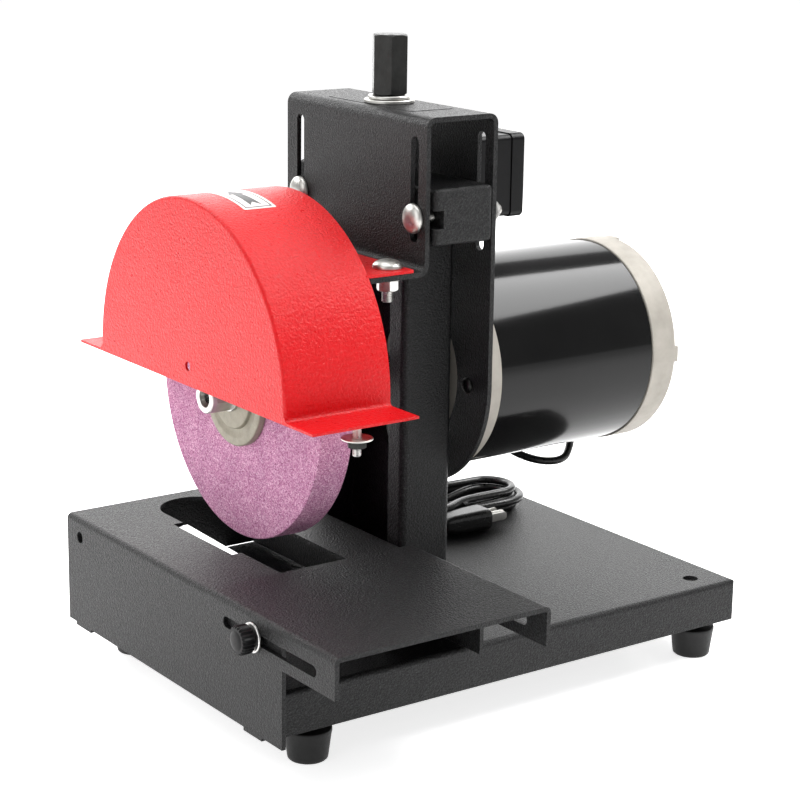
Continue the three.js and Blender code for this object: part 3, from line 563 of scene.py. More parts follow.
def make_plug():
    low, high = box("mains_plug")
    middle = (low.y + high.y) / 2
    level = (low.z + high.z) / 2
    front = high.x - 19
    body_x = front - 40
    rings = []
    for t, side, tall in ((0, 7.0, 5.6), (2, 8.2, 6.6), (7, 9.4, 7.6), (15, 10.2, 8.0), (24, 10.9, 8.3),
        (33, 11.3, 8.4), (38.2, 11.4, 8.4), (40, 10.6, 7.6)):
        r = min(side, tall) * 0.62
        rings.append((rounded_rect(middle - side, middle + side, level - tall, level + tall, [r] * 4, 8),
            body_x + t))
    body = lofted("x", rings)
    relief = turned("x", [(0, low.x), (3.9, low.x), (4.2, low.x + 0.6), (5.2, body_x + 1),
        (0, body_x + 1)], (middle, level), 40)
    slots = [cut(rod("x", 7, low.x + 2.4 + 3.4 * i, low.x + 3.8 + 3.4 * i, (middle, level)),
        rod("x", 3.5, low.x + 1 + 3.4 * i, low.x + 5 + 3.4 * i, (middle, level))) for i in range(4)]
    body = join(body, cut(relief, *slots))
    plug = finish_piece(body, "plug_body", "base", "cord_pvc", "mains_plug", 0.3, 2, 40)
    prongs = []
    for side in (-1, 1):
        y = middle + side * 6.35
        prongs.append(pulled("y", [(front - 2, level - 3.2), (front + 15, level - 3.2),
            (front + 17, level - 1.8), (front + 17, level + 1.8), (front + 15, level + 3.2),
            (front - 2, level + 3.2)], y - 0.75, y + 0.75))
    pin = turned("x", [(0, front - 2), (2.4, front - 2), (2.4, front + 17), (1.7, front + 18.6),
        (0, front + 19)], (middle, level + 0.5), 32)
    prong_set = finish_piece(join(pin, *prongs), "plug_prongs", "base", "nickel", (), 0.2, 2)
    return plug, prong_set


def make_cords():
    centreline = through(LEAD_IN + hank_points() + TAIL, 3)
    lead = cord_curve("mains_cord", centreline, CORD_RADIUS)
    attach(lead, "base")
    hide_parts("cord_lead", "cord_hank", "cord_tail")
    plug, prongs = make_plug()
    tie = make_tie()


def make_tie():
    """A flat cable tie round the hank's front run."""
    x, y = 318.0, HANK["y"] - (HANK["inner"] + HANK["outer"]) / 2
    low, high = TRAY_HIGH.z + 0.1, HANK["low"] + 1.6 * HANK["layer"] + 2.2
    outer = pulled("x", rounded_rect(y - 8.0, y + 8.0, low, high + 1.2, [3.2, 3.2, 4.4, 4.4], 8), x - 2.2,
        x + 2.2)
    inner = pulled("x", rounded_rect(y - 6.9, y + 6.9, low + 0.6, high + 0.3, [3, 3, 4, 4], 8), x - 3, x
        + 3)
    head = block(x - 3.4, x + 3.4, y - 10.6, y - 7.2, high - 7, high - 2.4)
    return finish_piece(join(cut(outer, inner), head), "cable_tie", "base", "black_plastic", (), 0.2, 1)


def make_motor_cable():
    around = 82.5

    def at(degrees, x, extra=0.0):
        angle = math.radians(degrees)
        return (x, AXIS[0] + (around + extra) * math.cos(angle), AXIS[1]
            + (around + extra) * math.sin(angle))

    start = (*SWITCH_EXIT, 287.9)
    route = [start, (start[0], start[1], start[2] - 6), (start[0] + 3, start[1] + 5, start[2] - 13),
        at(70, 258, 2), at(45, 276), at(20, 292), at(-5, 304), at(-30, 314), at(-52, 324, 4),
        at(-70, 334, 11), at(-84, 350, 13), at(-88, 365, 11), at(-85, 374.5, 4), at(-84, 376.5, -3)]
    centreline = through(route, 6)
    cable = cord_curve("motor_lead", centreline, 3)
    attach(cable, "head")
    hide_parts("motor_cable")


def make_gland():
    low, high = box("lead_gland")
    y, z = (low.y + high.y) / 2, (low.z + high.z) / 2
    wall = COLUMN_HIGH.x
    profile = [(0, low.x), (6, low.x), (6, wall + GAP), (8.3, wall + GAP), (8.3, wall + 3.6),
        (7.4, wall + 4.6)]
    for i in range(5):
        x = wall + 6 + 3.6 * i
        r = 6.3 - 0.4 * i
        profile += [(r, x), (r - 0.1, x + 1.9), (r - 1.0, x + 2.2), (r - 1.05, x + 3.2)]
    profile += [(4.3, high.x), (0, high.x)]
    finish_piece(turned("x", profile, (y, z), 48), "lead_strain_relief", "base", "rubber", "lead_gland",
        0.2)


make_cords()
make_motor_cable()
make_gland()

# ---- fasteners ----


def threaded(axis, size, low, high, centre, sides=20):
    """A threaded rod: one closed helical skin with flat ends."""
    radius, pitch, depth = size
    steps = max(4, round((high - low) / pitch * 6))
    points, faces = [], []
    for j in range(steps + 1):
        t = low + (high - low) * j / steps
        near_end = min(t - low, high - t)
        for i in range(sides):
            wave = abs(2 * ((t / pitch + i / sides) % 1) - 1)
            r = radius - depth * wave - max(0, 0.8 - near_end)
            a = 2 * math.pi * i / sides
            points.append(place3(axis, centre[0] + r * math.cos(a), centre[1] + r * math.sin(a), t))
    for j in range(steps):
        for i in range(sides):
            k = (i + 1) % sides
            faces.append((j * sides + i, j * sides + k, (j + 1) * sides + k, (j + 1) * sides + i))
    faces += [tuple(range(sides)), tuple(range(steps * sides, (steps + 1) * sides))]
    return mesh_object("thread", points, faces)


def hexagon(axis, across_corners, low, high, centre, chamfer=1.0, ends=(True, True), turn=0.0):
    """A hexagonal prism whose corners are coned off at the chosen ends."""
    r = across_corners / 2
    prism = pulled(axis, circle(r, centre, 6, math.radians(turn)), low, high)
    flat = r * math.cos(math.pi / 6)
    profile = [(0, low)]
    profile += [(flat - 0.3, low), (r + 0.05, low + chamfer)] if ends[0] else [(r + 1, low)]
    profile += [(r + 0.05, high - chamfer), (flat - 0.3, high)] if ends[1] else [(r + 1, high)]
    return common(prism, turned(axis, profile + [(0, high)], centre, 96))


def dome_profile(radius, height, rim, base, direction, steps=10):
    """A mushroom head standing on base, as (radius, distance) points from its rim to its crown."""
    points = [(radius, base)]
    for i in range(steps + 1):
        angle = math.pi / 2 * i / steps
        points.append((radius * math.cos(angle) if i < steps else 0, base
            + direction * (rim + (height - rim) * math.sin(angle))))
    return points


def carriage_bolt(axis, sizes, crown, seat, tip, centre):
    """A domed bolt from its crown through its seat to its tip. Sizes: head radius, rim and neck radius."""
    radius, rim, neck = sizes
    out = 1 if crown > seat else -1
    dome = dome_profile(radius, abs(crown - seat), rim, seat, out)[::-1]
    head = turned(axis, dome + [(neck, seat), (neck, seat - out), (0, seat - out)], centre, 64)
    return join(head, threaded(axis, M8, *sorted((seat - 0.5 * out, tip)), centre, 20))


# ---- base ----


def make_tray():
    width, depth, height = TRAY_HIGH.x, TRAY_HIGH.y, TRAY_HIGH.z
    bend, rim = BEND, BEND - SHEET
    low = TRAY_LOW.x
    tray = common(pulled("x", rounded_rect(0, depth, 0, height, [0, 0, bend, bend]), low, width),
        pulled("y", rounded_rect(-9, width, 0, height, [0, 0, bend, 0]), 0, depth),
        pulled("z", rounded_rect(-9, width, 0, depth, [0, bend, bend, 0]), -1, height + 1))
    inner = common(pulled("x", rounded_rect(SHEET, depth - SHEET, -1, height - SHEET, [0, 0, rim, rim]),
        -1, width), pulled("y", rounded_rect(-9, width - SHEET, -1, height - SHEET, [0, 0, rim, 0]), 0,
        depth), pulled("z", rounded_rect(-9, width - SHEET, SHEET, depth - SHEET, [0, rim, rim, 0]), -2,
        height))
    tray = cut(tray, inner)
    for y in (FOOT["front"], depth - FOOT["front"]):
        tray = join(tray, block(FOOT["right"] - 18, width - SHEET / 2, y - FOOT["tab"], y + FOOT["tab"],
            -SHEET, SHEET / 2))
        tray = cut(tray, rod("z", M6_HOLE, -SHEET - 1, SHEET, (FOOT["right"], y)),
            rod("z", 5.5, height - SHEET - 1, height + 1, (TRAY_HOLE, y), 48))
    tray = cut(tray, pulled("y", OUTLET, depth - OUTLET_REACH, depth + 1))
    finish_piece(tray, "base_tray_sheet", "base", "black_powder_coat", "base_tray", 0.4)


def wheel_slot(z0, z1):
    round_slot = obround(SLOT["x"] - SLOT["half"], SLOT["x"] + SLOT["half"], SLOT["front"], SLOT["back"],
        20)
    left = SLOT["x"] - SLOT["half"]
    window = block(left - WINDOW["width"], left + 6, WINDOW["front"], WINDOW["back"], z0, z1)
    return join(pulled("z", round_slot, z0, z1), window)


def make_bed():
    width, top, front, back = BED_HIGH.x, BED_HIGH.z, BED_LOW.y, BED_HIGH.y
    bend, rim = BEND, BEND - SHEET
    standing = TRAY_HIGH.z + GAP
    bed = cut(pulled("y", rounded_rect(0, width, 0, top, [0, 0, bend, bend]), front, back),
        pulled("y", rounded_rect(SHEET, width - SHEET, -1, top - SHEET, [0, 0, rim, rim]), front - 1, back
        + 1), block(width / 2, width + 1, front - 1, back + 1, -1, standing))
    wall = cut(block(SHEET - 1, width - SHEET + 1, back - SHEET, back, standing, top - 1),
        pulled("y", OUTLET, back - SHEET - 1, back + 1))
    bed = join(bed, wall)
    for y in (FOOT["front"], back - FOOT["front"]):
        bed = join(bed, block(SHEET / 4, FOOT["left"] + 18, y - FOOT["tab"], y + FOOT["tab"], -SHEET,
            SHEET / 2))
        bed = cut(bed, rod("z", M6_HOLE, -SHEET - 1, SHEET, (FOOT["left"], y)))
    knob = (KNOB["y"], KNOB["z"])
    bed = cut(bed, wheel_slot(top - SHEET - 1, top + 1), rod("x", 4.2, -1, SHEET + 1, (252, 66)),
        rod("x", KNOB["screw"] + GAP, -1, SHEET + 1, knob), rod("x", KNOB["screw"] + GAP,
        width - SHEET - 1, width + 1, knob))
    finish_piece(bed, "bed_sheet", "base", "black_powder_coat", "bed_channel", 0.4)


def make_feet():
    for name in ("front_left", "front_right", "back_left", "back_right"):
        low, high = box(f"foot_{name}")
        centre = ((low.x + high.x) / 2, (low.y + high.y) / 2)
        top, bottom, rim = high.z, low.z, FOOT["shoulder"]
        profile = [(3.4, top), (FOOT["neck"], top), (FOOT["neck"], rim + 0.6), (15.2, rim),
            (15.8, rim - 0.4), (16, rim - 1.1), (16, rim - 2.6), (15.7, rim - 3.3)]
        profile += [(15.7 + (13.6 - 15.7) * i / 6, rim - 3.3 + (bottom + 2.4 - rim + 3.3) * i / 6)
            for i in range(1, 7)]
        profile += [(13.3, bottom + 1), (12.4, bottom + 0.15), (11.8, bottom), (8.2, bottom),
            (7.5, bottom + 0.7), (7.5, -12.4), (7.1, -12), (3.4, -12)]
        finish_piece(turned("z", profile, centre, 72), f"rubber_{name}", "base", "rubber", f"foot_{name}",
            0)
        screw = box(f"foot_screw_{name}")
        seat = FOOT["seat"]
        head = turned("z", [(0, screw[0].z), (4.4, screw[0].z), (5.6, screw[0].z + 0.7), (6.3, seat - 1.6),
            (6.5, seat), (2.9, seat), (2.9, seat + 2), (0, seat + 2)], centre, 40)
        cross = [block(centre[0] - a, centre[0] + a, centre[1] - b, centre[1] + b, screw[0].z - 1,
            screw[0].z + 1.6) for a, b in ((3.0, 0.6), (0.6, 3.0))]
        shank = threaded("z", M6, seat + 1, screw[1].z, centre, 16)
        finish_piece(join(cut(head, *cross), shank), f"foot_bolt_{name}", "base", "zinc",
            f"foot_screw_{name}", 0.1, 1)


# ---- table ----


def make_table():
    left, right, front, back, top = TABLE_LOW.x, TABLE_HIGH.x, TABLE_LOW.y, TABLE_HIGH.y, TABLE_HIGH.z
    sheet = top - BED_HIGH.z - GAP
    low = TABLE_LOW.z
    outer = pulled("y", rounded_rect(left, right, low, top, [0, 0, 4.2, 4.2]), front, back)
    inner = pulled("y", rounded_rect(left + sheet, right - sheet, low - 30, top - sheet, [0, 0, 1, 1]),
        front - 1, back + 1)
    slot = obround(-60, 48, KNOB["z"] - 3.7, KNOB["z"] + 3.7)
    table = cut(outer, inner, pulled("x", slot, left - 1, right + 1))
    finish_piece(table, "table_sheet", "table", "black_powder_coat", "slide_table", 0.35)


def make_table_knob():
    low, high = box("table_knob")
    seat = (KNOB["y"], KNOB["z"])
    washer = box("knob_washer")
    ring = turned("x", [(3.3, washer[0].x), (9.3, washer[0].x), (9.9, washer[0].x + 0.4),
        (9.9, washer[1].x), (3.3, washer[1].x)], seat, 72)
    finish_piece(ring, "knob_ring", "base", "zinc", "knob_washer", 0.1, 1)
    rim = washer[0].x - GAP
    ribs = 22
    outline = []
    for i in range(ribs * 6):
        angle = 2 * math.pi * i / (ribs * 6)
        outline.append((seat[0] + (9.25 + 0.35 * math.cos(ribs * angle)) * math.cos(angle), seat[1]
            + (9.25 + 0.35 * math.cos(ribs * angle)) * math.sin(angle)))

    def shrunk(k):
        return [(seat[0] + (y - seat[0]) * k, seat[1] + (z - seat[1]) * k) for y, z in outline]

    face = low.x
    grip = lofted("x", [(shrunk(0.72), face + 0.9), (shrunk(0.9), face + 0.95),
        (shrunk(0.965), face + 1.6), (shrunk(1), face + 2.6), (shrunk(1), rim - 2.4),
        (shrunk(0.96), rim - 1.6)])
    crown = turned("x", [(0, face), (3.2, face + 0.08), (5.4, face + 0.35), (6.6, face + 0.9),
        (6.6, face + 2), (0, face + 2)], seat, 64)
    neck = turned("x", [(0, rim - 3), (7.2, rim - 3), (6.6, rim), (0, rim)], seat, 64)
    screw = threaded("x", M6, rim - 1, high.x, seat, 18)
    knob = join(grip, crown, neck, screw)
    finish_piece(knob, "table_lock_knob", "knob", "black_plastic", "table_knob", 0.12, 2, 40)
    head_low, head_high = box("table_guide_screw")
    outside = TABLE_HIGH.x + GAP
    head = turned("x", [(0, outside - 2), (3, outside - 2), (3, outside), (6.2, outside),
        (6.1, outside + 0.7), (5.4, outside + 1.7), (4.2, outside + 2.25), (2.8, head_high.x),
        (0, head_high.x)], seat, 48)
    socket = pulled("x", circle(2.1, seat, 6), head_high.x - 1.5, head_high.x + 1)
    body = threaded("x", M6, head_low.x, outside - 1, seat, 18)
    finish_piece(join(cut(head, socket), body), "table_guide_bolt", "base", "zinc", "table_guide_screw",
        0.1, 1)


# ---- column and crossbar ----


def make_column():
    x0, x1, y0, y1 = COLUMN_LOW.x, COLUMN_HIGH.x, COLUMN_LOW.y, COLUMN_HIGH.y
    low, high = COLUMN_LOW.z, COLUMN_HIGH.z
    column = cut(pulled("z", rounded_rect(x0, x1, y0, y1, [5] * 4), low, high),
        pulled("z", rounded_rect(x0 + PLATE, x1 - PLATE, y0 + PLATE, y1 - PLATE, [1.5] * 4), low - 1, high
        + 1), block(x0 - 1, x0 + PLATE + 1, y0 + 17, y1 - 17, low - 1, high + 1),
        pulled("x", obround(AXIS[0] - 17, AXIS[0] + 17, AXIS[1] - 62, AXIS[1] + 30), x1 - PLATE - 1, x1
        + 1), rod("x", 6.3, x1 - PLATE - 1, x1 + 1, (LEAD_EXIT[1], LEAD_EXIT[2])))
    finish_piece(column, "column_channel", "base", "black_powder_coat", "column", 0.4)


def make_crossbar():
    x0, x1, y0, y1, z0, z1 = BAR_LOW.x, BAR_HIGH.x, BAR_LOW.y, BAR_HIGH.y, BAR_LOW.z, BAR_HIGH.z
    bar = block(x0, x1, y0, y1, z0, z1)
    bevel = bar.modifiers.new("round", "BEVEL")
    bevel.width, bevel.segments = 3.4 * MM, 5
    apply_modifiers(bar)
    bar = cut(bar, rod("z", M12_HOLE, z0 - 1, z1 + 1, HEX),
        *[rod("x", M8_HOLE, x0 - 1, x1 + 1, (y, GUIDE["z"])) for y in GUIDE["ys"]])
    bar = cut(bar, block(x0 - 1, x0 + 7, y0 - 1, GUIDE["ys"][0] + 6.5, GUIDE["z"] - 6, GUIDE["z"] + 6))
    finish_piece(bar, "crossbar_block", "base", "black_powder_coat", "crossbar", 0.3, 2, 50)


def make_guide_bolts():
    for y, tag in zip(GUIDE["ys"], ("front", "back")):
        low, high = box(f"guide_bolt_{tag}")
        centre = (y, GUIDE["z"])
        seat = HEAD_X0 - GAP
        bolt = carriage_bolt("x", (10.2, 0.7, 3.5), low.x, seat, high.x, centre)
        finish_piece(bolt, f"carriage_bolt_{tag}", "base", "nickel", f"guide_bolt_{tag}", 0)
        make_nut(f"guide_nut_{tag}", "base", "x", centre)


def make_nut(node, body, axis, centre, flip=False):
    """A hexagon nut on its washer, which lies at the node's low end, or at its high end when flipped."""
    across, bore = 15, 4.2
    low, high = (getattr(corner, axis) for corner in box(node))
    outside = max(*(b - a for a, b in zip(*box(node)))) / 2
    if flip:
        washer = turned(axis, [(bore, high - 1.5), (outside - 0.3, high - 1.5), (outside, high - 1.2),
            (outside, high), (bore, high)], centre, 56)
        nut = hexagon(axis, across, low, high - 1.4, centre, 1.0, (True, False), 8)
    else:
        washer = turned(axis, [(bore, low), (outside, low), (outside, low + 1.2),
            (outside - 0.3, low + 1.5), (bore, low + 1.5)], centre, 56)
        nut = hexagon(axis, across, low + 1.4, high, centre, 1.0, (False, True), 8)
    nut = cut(nut, rod(axis, bore, low - 1, high + 1, centre, 40))
    finish_piece(join(washer, nut), f"{node}_hexagon", body, "zinc", node, 0.12, 1)


# ---- lift screw ----


def make_lift_screw():
    for node, wave in (("lift_washer_large", 0.0), ("lift_washer_small", 0.22)):
        low, high = box(node)
        radius = (high.x - low.x) / 2
        sides, rings = 96, ((6.3, 0), (radius - 0.4, 0), (radius, 0.4), (radius, 2.0), (radius - 0.4, 2.4),
            (6.3, 2.4))
        points = []
        for r, t in rings:
            for i in range(sides):
                a = 2 * math.pi * i / sides
                lift = wave * (math.sin(3 * a + 0.7) - 1) * (r / radius) * (t > 1)
                points.append((HEX[0] + r * math.cos(a), HEX[1] + r * math.sin(a), low.z + t + lift))
        n = len(rings)
        faces = [(j * sides + i, j * sides + (i + 1) % sides, (j + 1) % n * sides + (i + 1) % sides,
            (j + 1) % n * sides + i) for j in range(n) for i in range(sides)]
        finish_piece(mesh_object(node, points, faces), f"{node}_ring", "head", "nickel", node, 0)
    low, high = box("lift_screw")
    start = box("lift_washer_small")[1].z + GAP
    corner = 13.2
    bar = hexagon("z", 2 * corner, start, high.z, HEX, 1.3, (True, True), 0)
    rim = turned("z", [(0, high.z - 3), (corner + 2, high.z - 3), (corner + 2, high.z - 1.5),
        (corner - 1.7, high.z), (0, high.z)], HEX, 96)
    shank = threaded("z", M12, low.z, start + 1, HEX, 24)
    bar = join(common(bar, join(block(160, 220, 110, 180, start - 1, high.z - 2.5), rim)), shank)
    finish_piece(bar, "lift_screw_hexagon", "lift", "black_oxide", "lift_screw", 0.45, 3, 32)


# ---- head ----


def motor_screw_places():
    return [(AXIS[0] + MOTOR_SCREW_CIRCLE * math.cos(a), AXIS[1] + MOTOR_SCREW_CIRCLE * math.sin(a))
        for a in (math.radians(90 * i) for i in range(4))]


def make_head():
    x1, y0, y1, top = HEAD_HIGH.x, HEAD_LOW.y, HEAD_HIGH.y, HEAD_HIGH.z
    x0, flange = HEAD_X0, HEAD_FLANGE
    outer = pulled("y", rounded_rect(x0, x1, flange, top, [0, 0, 7, 7], 10), y0, y1)
    inner = pulled("y", rounded_rect(x0 + PLATE, x1 - PLATE, flange - 1, top - PLATE, [0, 0, 3.5, 3.5]),
        y0 - 1, y1 + 1)
    head = cut(outer, inner, block(x0 - 1, x0 + PLATE + 1, y0 - 1, y1 + 1, flange - 1, flange + 11))
    ledge = cut(pulled("y", rounded_rect(HEAD_LOW.x, x0 + PLATE, flange, flange + 12, [0, 8, 0, 0], 10),
        y0, y1), pulled("y", rounded_rect(HEAD_LOW.x - 1, x0, flange + PLATE, flange + 14, [0, 4.5, 0, 0]),
        y0 - 1, y1 + 1))
    py, pz, radius = PLATE_ARC["y"], PLATE_ARC["z"], PLATE_ARC["radius"]
    plate = pulled("x", [(y1, flange + 2), (y0, flange + 2), (y0, pz)]
        + arc((py, pz), radius, 180, 360, 72)[1:], x1 - PLATE, x1)
    head = join(head, ledge, plate)
    cuts = [pulled("x", obround(y - 4.4, y + 4.4, lowest, GUIDE["high"]), side - PLATE - 1, side + 1)
        for y in GUIDE["ys"] for lowest, side in ((GUIDE["low"], x0 + PLATE), (GUIDE["right_low"], x1))]
    cuts += [rod("z", M12_HOLE, top - PLATE - 1, top + 1, HEX), rod("x", 55.3, x1 - PLATE - 1, x1 + 1,
        AXIS, 120)]
    cuts += [rod("z", M8_HOLE, flange - 1, flange + PLATE + 1, (GUARD_BOLTS["x"], y))
        for y in GUARD_BOLTS["ys"]]
    cuts += [rod("x", M6_HOLE, x1 - PLATE - 1, x1 + 1, place) for place in motor_screw_places()]
    finish_piece(cut(head, *cuts), "head_bracket_sheet", "head", "black_powder_coat", "head_bracket", 0.4)
    shim = cut(pulled("z", rounded_rect(171.5, 206.5, 93, 193, [1.5] * 4), top - 0.05, top + 0.26),
        rod("z", 6.4, top - 2, top + 2, HEX))
    finish_piece(shim, "lift_wear_plate", "head", "black_powder_coat", (), 0.06, 1)


# ---- guard ----


def arch(radius, low, steps=120):
    y, z = ARCH["y"], ARCH["z"]
    return [(y + radius, low)] + arc((y, z), radius, 0, 180, steps) + [(y - radius, low)]


def make_guard():
    radius, skin, y = ARCH["radius"], ARCH["skin"], ARCH["y"]
    x0, x1, edge = GUARD_LOW.x, 115.0, GUARD_LOW.z
    crown = 2.2
    rings = []
    for i in range(6):
        angle = math.pi / 2 * i / 5
        rings.append((arch(radius - crown * (1 - math.sin(angle)), edge), x0
            + crown * (1 - math.cos(angle))))
    shell = cut(lofted("x", rings + [(arch(radius, edge), x1)]),
        pulled("x", arch(radius - skin, edge - 1), x0 + skin, x1 + 1))
    for side, lip in ((-1, GUARD_LOW.y), (1, GUARD_HIGH.y)):
        wall = y + side * radius
        r = 3.0
        corner = (wall + side * r, edge + skin + r)
        turn = arc(corner, r, 180 if side > 0 else 0, 270 if side > 0 else -90, 8)
        profile = [(wall - side * skin, edge), (wall - side * skin, edge + skin + r)] + turn + [(lip, edge
            + skin), (lip, edge)]
        shell = join(shell, pulled("x", profile, x0 + 0.02, x1))
    seat = HEAD_FLANGE + PLATE + GAP
    ear_top = seat + skin + 0.4
    ear = cut(block(x1 - 1.5, HEAD_X0 - 9, HEAD_LOW.y, HEAD_HIGH.y, seat, ear_top),
        pulled("x", arch(radius - skin / 2, edge), x0, x1))
    cuts = [rod("z", M8_HOLE, seat - 1, seat + 5, (GUARD_BOLTS["x"], gy)) for gy in GUARD_BOLTS["ys"]]
    cuts.append(rod("x", GUARD_HOLE["radius"], x0 - 1, x0 + skin + 1, GUARD_HOLE["place"]))
    finish_piece(cut(join(shell, ear), *cuts), "guard_shell", "head", "red_powder_coat", "guard", 0.3, 2,
        35)
    for gy, tag in zip(GUARD_BOLTS["ys"], ("front", "back")):
        low, high = box(f"guard_bolt_{tag}")
        centre = (GUARD_BOLTS["x"], gy)
        top = ear_top + GAP
        bolt = carriage_bolt("z", (10.3, 0.8, 3.6), high.z, top, low.z, centre)
        finish_piece(bolt, f"guard_carriage_bolt_{tag}", "head", "nickel", f"guard_bolt_{tag}", 0)
        make_nut(f"guard_nut_{tag}", "head", "z", centre, True)


def on_arch(x, degrees, lift):
    angle = math.radians(degrees)
    r = ARCH["radius"] + lift
    return (x, ARCH["y"] + r * math.cos(angle), ARCH["z"] + r * math.sin(angle))


def wrapped_patch(name, outline, low, high, steps=None):
    """A thin patch laid over the arch: an outline of (x, degrees), cut into strips along the arc."""
    degrees = [d for _, d in outline]
    first, last = min(degrees), max(degrees)
    count = steps or max(2, round((last - first) / 1.5))
    plane = bpy.data.meshes.new(name)
    plane.from_pydata([(x, d, 0) for x, d in outline], [], [tuple(range(len(outline)))])
    work = bmesh.new()
    work.from_mesh(plane)
    for i in range(1, count):
        line = first + (last - first) * i / count
        bmesh.ops.bisect_plane(work, geom=work.verts[:] + work.edges[:] + work.faces[:],
            plane_co=(0, line, 0), plane_no=(0, 1, 0))
    bmesh.ops.triangulate(work, faces=work.faces[:])
    upper = [on_arch(v.co.x, v.co.y, high) for v in work.verts]
    lower = [on_arch(v.co.x, v.co.y, low) for v in work.verts]
    work.verts.index_update()
    tops = [tuple(v.index for v in f.verts) for f in work.faces]
    n = len(upper)
    faces = tops + [tuple(n + i for i in reversed(f)) for f in tops]
    faces += [(e.verts[0].index, e.verts[1].index, n + e.verts[1].index, n + e.verts[0].index)
        for e in work.edges if e.is_boundary]
    work.free()
    bpy.data.meshes.remove(plane)
    return mesh_object(name, upper + lower, faces)


def make_label():
    """A plain direction label: a pale patch with a dark frame and a swallow-tailed arrow."""
    x0, x1, near, far = 57.5, 82.5, 107.0, 84.5
    patch = wrapped_patch("label", rounded_rect(x0, x1, far, near, [0.9] * 4, 4), 0.02, 0.14)
    finish_piece(patch, "direction_label", "head", "label_white", (), 0)
    inset, line = 2.4, 0.9
    per_degree = ARCH["radius"] * math.pi / 180
    a0, a1, d0, d1 = x0 + inset, x1 - inset, far + inset / per_degree, near - inset / per_degree
    b = line / per_degree
    bars = [((a0, d0), (a1, d0 + b)), ((a0, d1 - b), (a1, d1)), ((a0, d0 + b), (a0 + line, d1 - b)),
        ((a1 - line, d0 + b), (a1, d1 - b))]
    pieces = [wrapped_patch("bar", [(p[0], p[1]), (q[0], p[1]), (q[0], q[1]), (p[0], q[1])], 0.1, 0.2)
        for p, q in bars]
    middle = (x0 + x1) / 2
    arrow = [(middle - 4.2, 104.2), (middle, 101.6), (middle + 4.2, 104.2), (middle + 3.2, 92.5),
        (middle + 6.4, 92.9), (middle, 87.0), (middle - 6.4, 92.9), (middle - 3.2, 92.5)]
    pieces.append(wrapped_patch("arrow", arrow, 0.1, 0.2))
    finish_piece(join(pieces[0], *pieces[1:]), "direction_mark", "head", "label_black", (), 0)


def make_deflector_stud():
    low, high = box("deflector_stud")
    centre = ((low.x + high.x) / 2, (low.y + high.y) / 2)
    weld = turned("z", [(0, high.z), (5.0, high.z), (4.8, high.z - 0.5), (3.6, high.z - 1.2),
        (2.8, high.z - 2), (0, high.z - 2)], centre, 40)
    finish_piece(join(weld, threaded("z", M6, low.z, high.z - 1, centre, 18)), "stud_bolt", "head", "zinc",
        "deflector_stud", 0)
    low, high = box("deflector_washer")
    washer = turned("z", [(3.2, low.z), (10.0, low.z), (10.4, low.z + 0.4), (10.4, high.z - 0.3),
        (10.1, high.z), (3.2, high.z)], centre, 72)
    finish_piece(washer, "stud_washer", "head", "nickel", "deflector_washer", 0.08, 1)
    low, high = box("deflector_nut")
    nut = cut(hexagon("z", 13.2, low.z, high.z, centre, 0.8), rod("z", 3.15, low.z - 1, high.z + 1, centre,
        32))
    finish_piece(nut, "stud_nut", "head", "black_oxide", "deflector_nut", 0.12, 1)


# ---- wheel and spindle ----


def make_wheel():
    x0, x1 = WHEEL_LOW.x, WHEEL_HIGH.x
    radius = (WHEEL_HIGH.z - WHEEL_LOW.z) / 2
    bore = 12.8
    profile = [(bore, x0), (40, x0), (70, x0), (radius - 1.3, x0), (radius - 0.35, x0 + 0.4),
        (radius, x0 + 1.3), (radius, (x0 + x1) / 2), (radius, x1 - 1.3), (radius - 0.35, x1 - 0.4),
        (radius - 1.3, x1), (70, x1), (40, x1), (bore, x1)]
    finish_piece(turned("x", profile, AXIS, 240), "abrasive_wheel", "spindle", "abrasive",
        "grinding_wheel", 0)
    low, high = box("outer_flange")
    back, face = high.x, high.x - 5.3
    outer = [(9.4, back), (36.1, back), (36.5, back - 0.4), (36.5, face + 1), (36.1, face + 0.3),
        (35.3, face), (31.2, face)]
    outer += [(31 - 6.4 * i / 10, face + 1.3 * math.sin(math.pi / 2 * i / 10)) for i in range(1, 11)]
    outer += [(24.1, face - 0.4), (23.8, low.x + 0.5), (23.1, low.x), (9.4, low.x)]
    finish_piece(turned("x", outer, AXIS, 144), "clamp_flange", "spindle", "olive_flange", "outer_flange",
        0)
    low, high = box("spindle_nut")
    hole = 6.6
    ring = turned("x", [(hole, low.x + 0.4), (hole + 0.4, low.x), (10.3, low.x), (11, low.x + 0.7),
        (11, low.x + 4), (hole, low.x + 4)], AXIS, 96)
    collar = turned("x", [(hole, high.x), (11.7, high.x), (12, high.x - 0.3), (12, high.x - 1.6),
        (11.6, high.x - 2), (hole, high.x - 2)], AXIS, 96)
    nut = cut(hexagon("x", 22, low.x + 3.4, high.x - 1, AXIS, 1.2, (True, False), 12),
        rod("x", hole, low.x, high.x + 1, AXIS, 72))
    finish_piece(join(nut, ring, collar), "spindle_hexagon", "spindle", "nickel", "spindle_nut", 0.2, 2)
    low, high = box("motor_shaft")
    tip, shoulder = low.x, x0 - 6.4
    shaft = turned("x", [
        (0, tip), (5.3, tip), (5.9, tip + 0.6), (5.9, shoulder), (8.9, shoulder), (8.9, x1 + 7.4),
            (12, x1 + 7.4),
        (12, SHELL_LOW.x - 26), (10, SHELL_LOW.x - 26), (10, SHELL_LOW.x + 22), (12, SHELL_LOW.x + 22),
        (12, SHELL_HIGH.x - 22), (8.5, SHELL_HIGH.x - 22), (8.5, high.x), (0, high.x)], AXIS, 72)
    shaft = cut(shaft, rod("x", 4.6, tip - 1, tip + 10, AXIS, 48))
    finish_piece(shaft, "spindle_shaft", "spindle", "machined_steel", "motor_shaft", 0.15, 1, 40)


# ---- motor ----


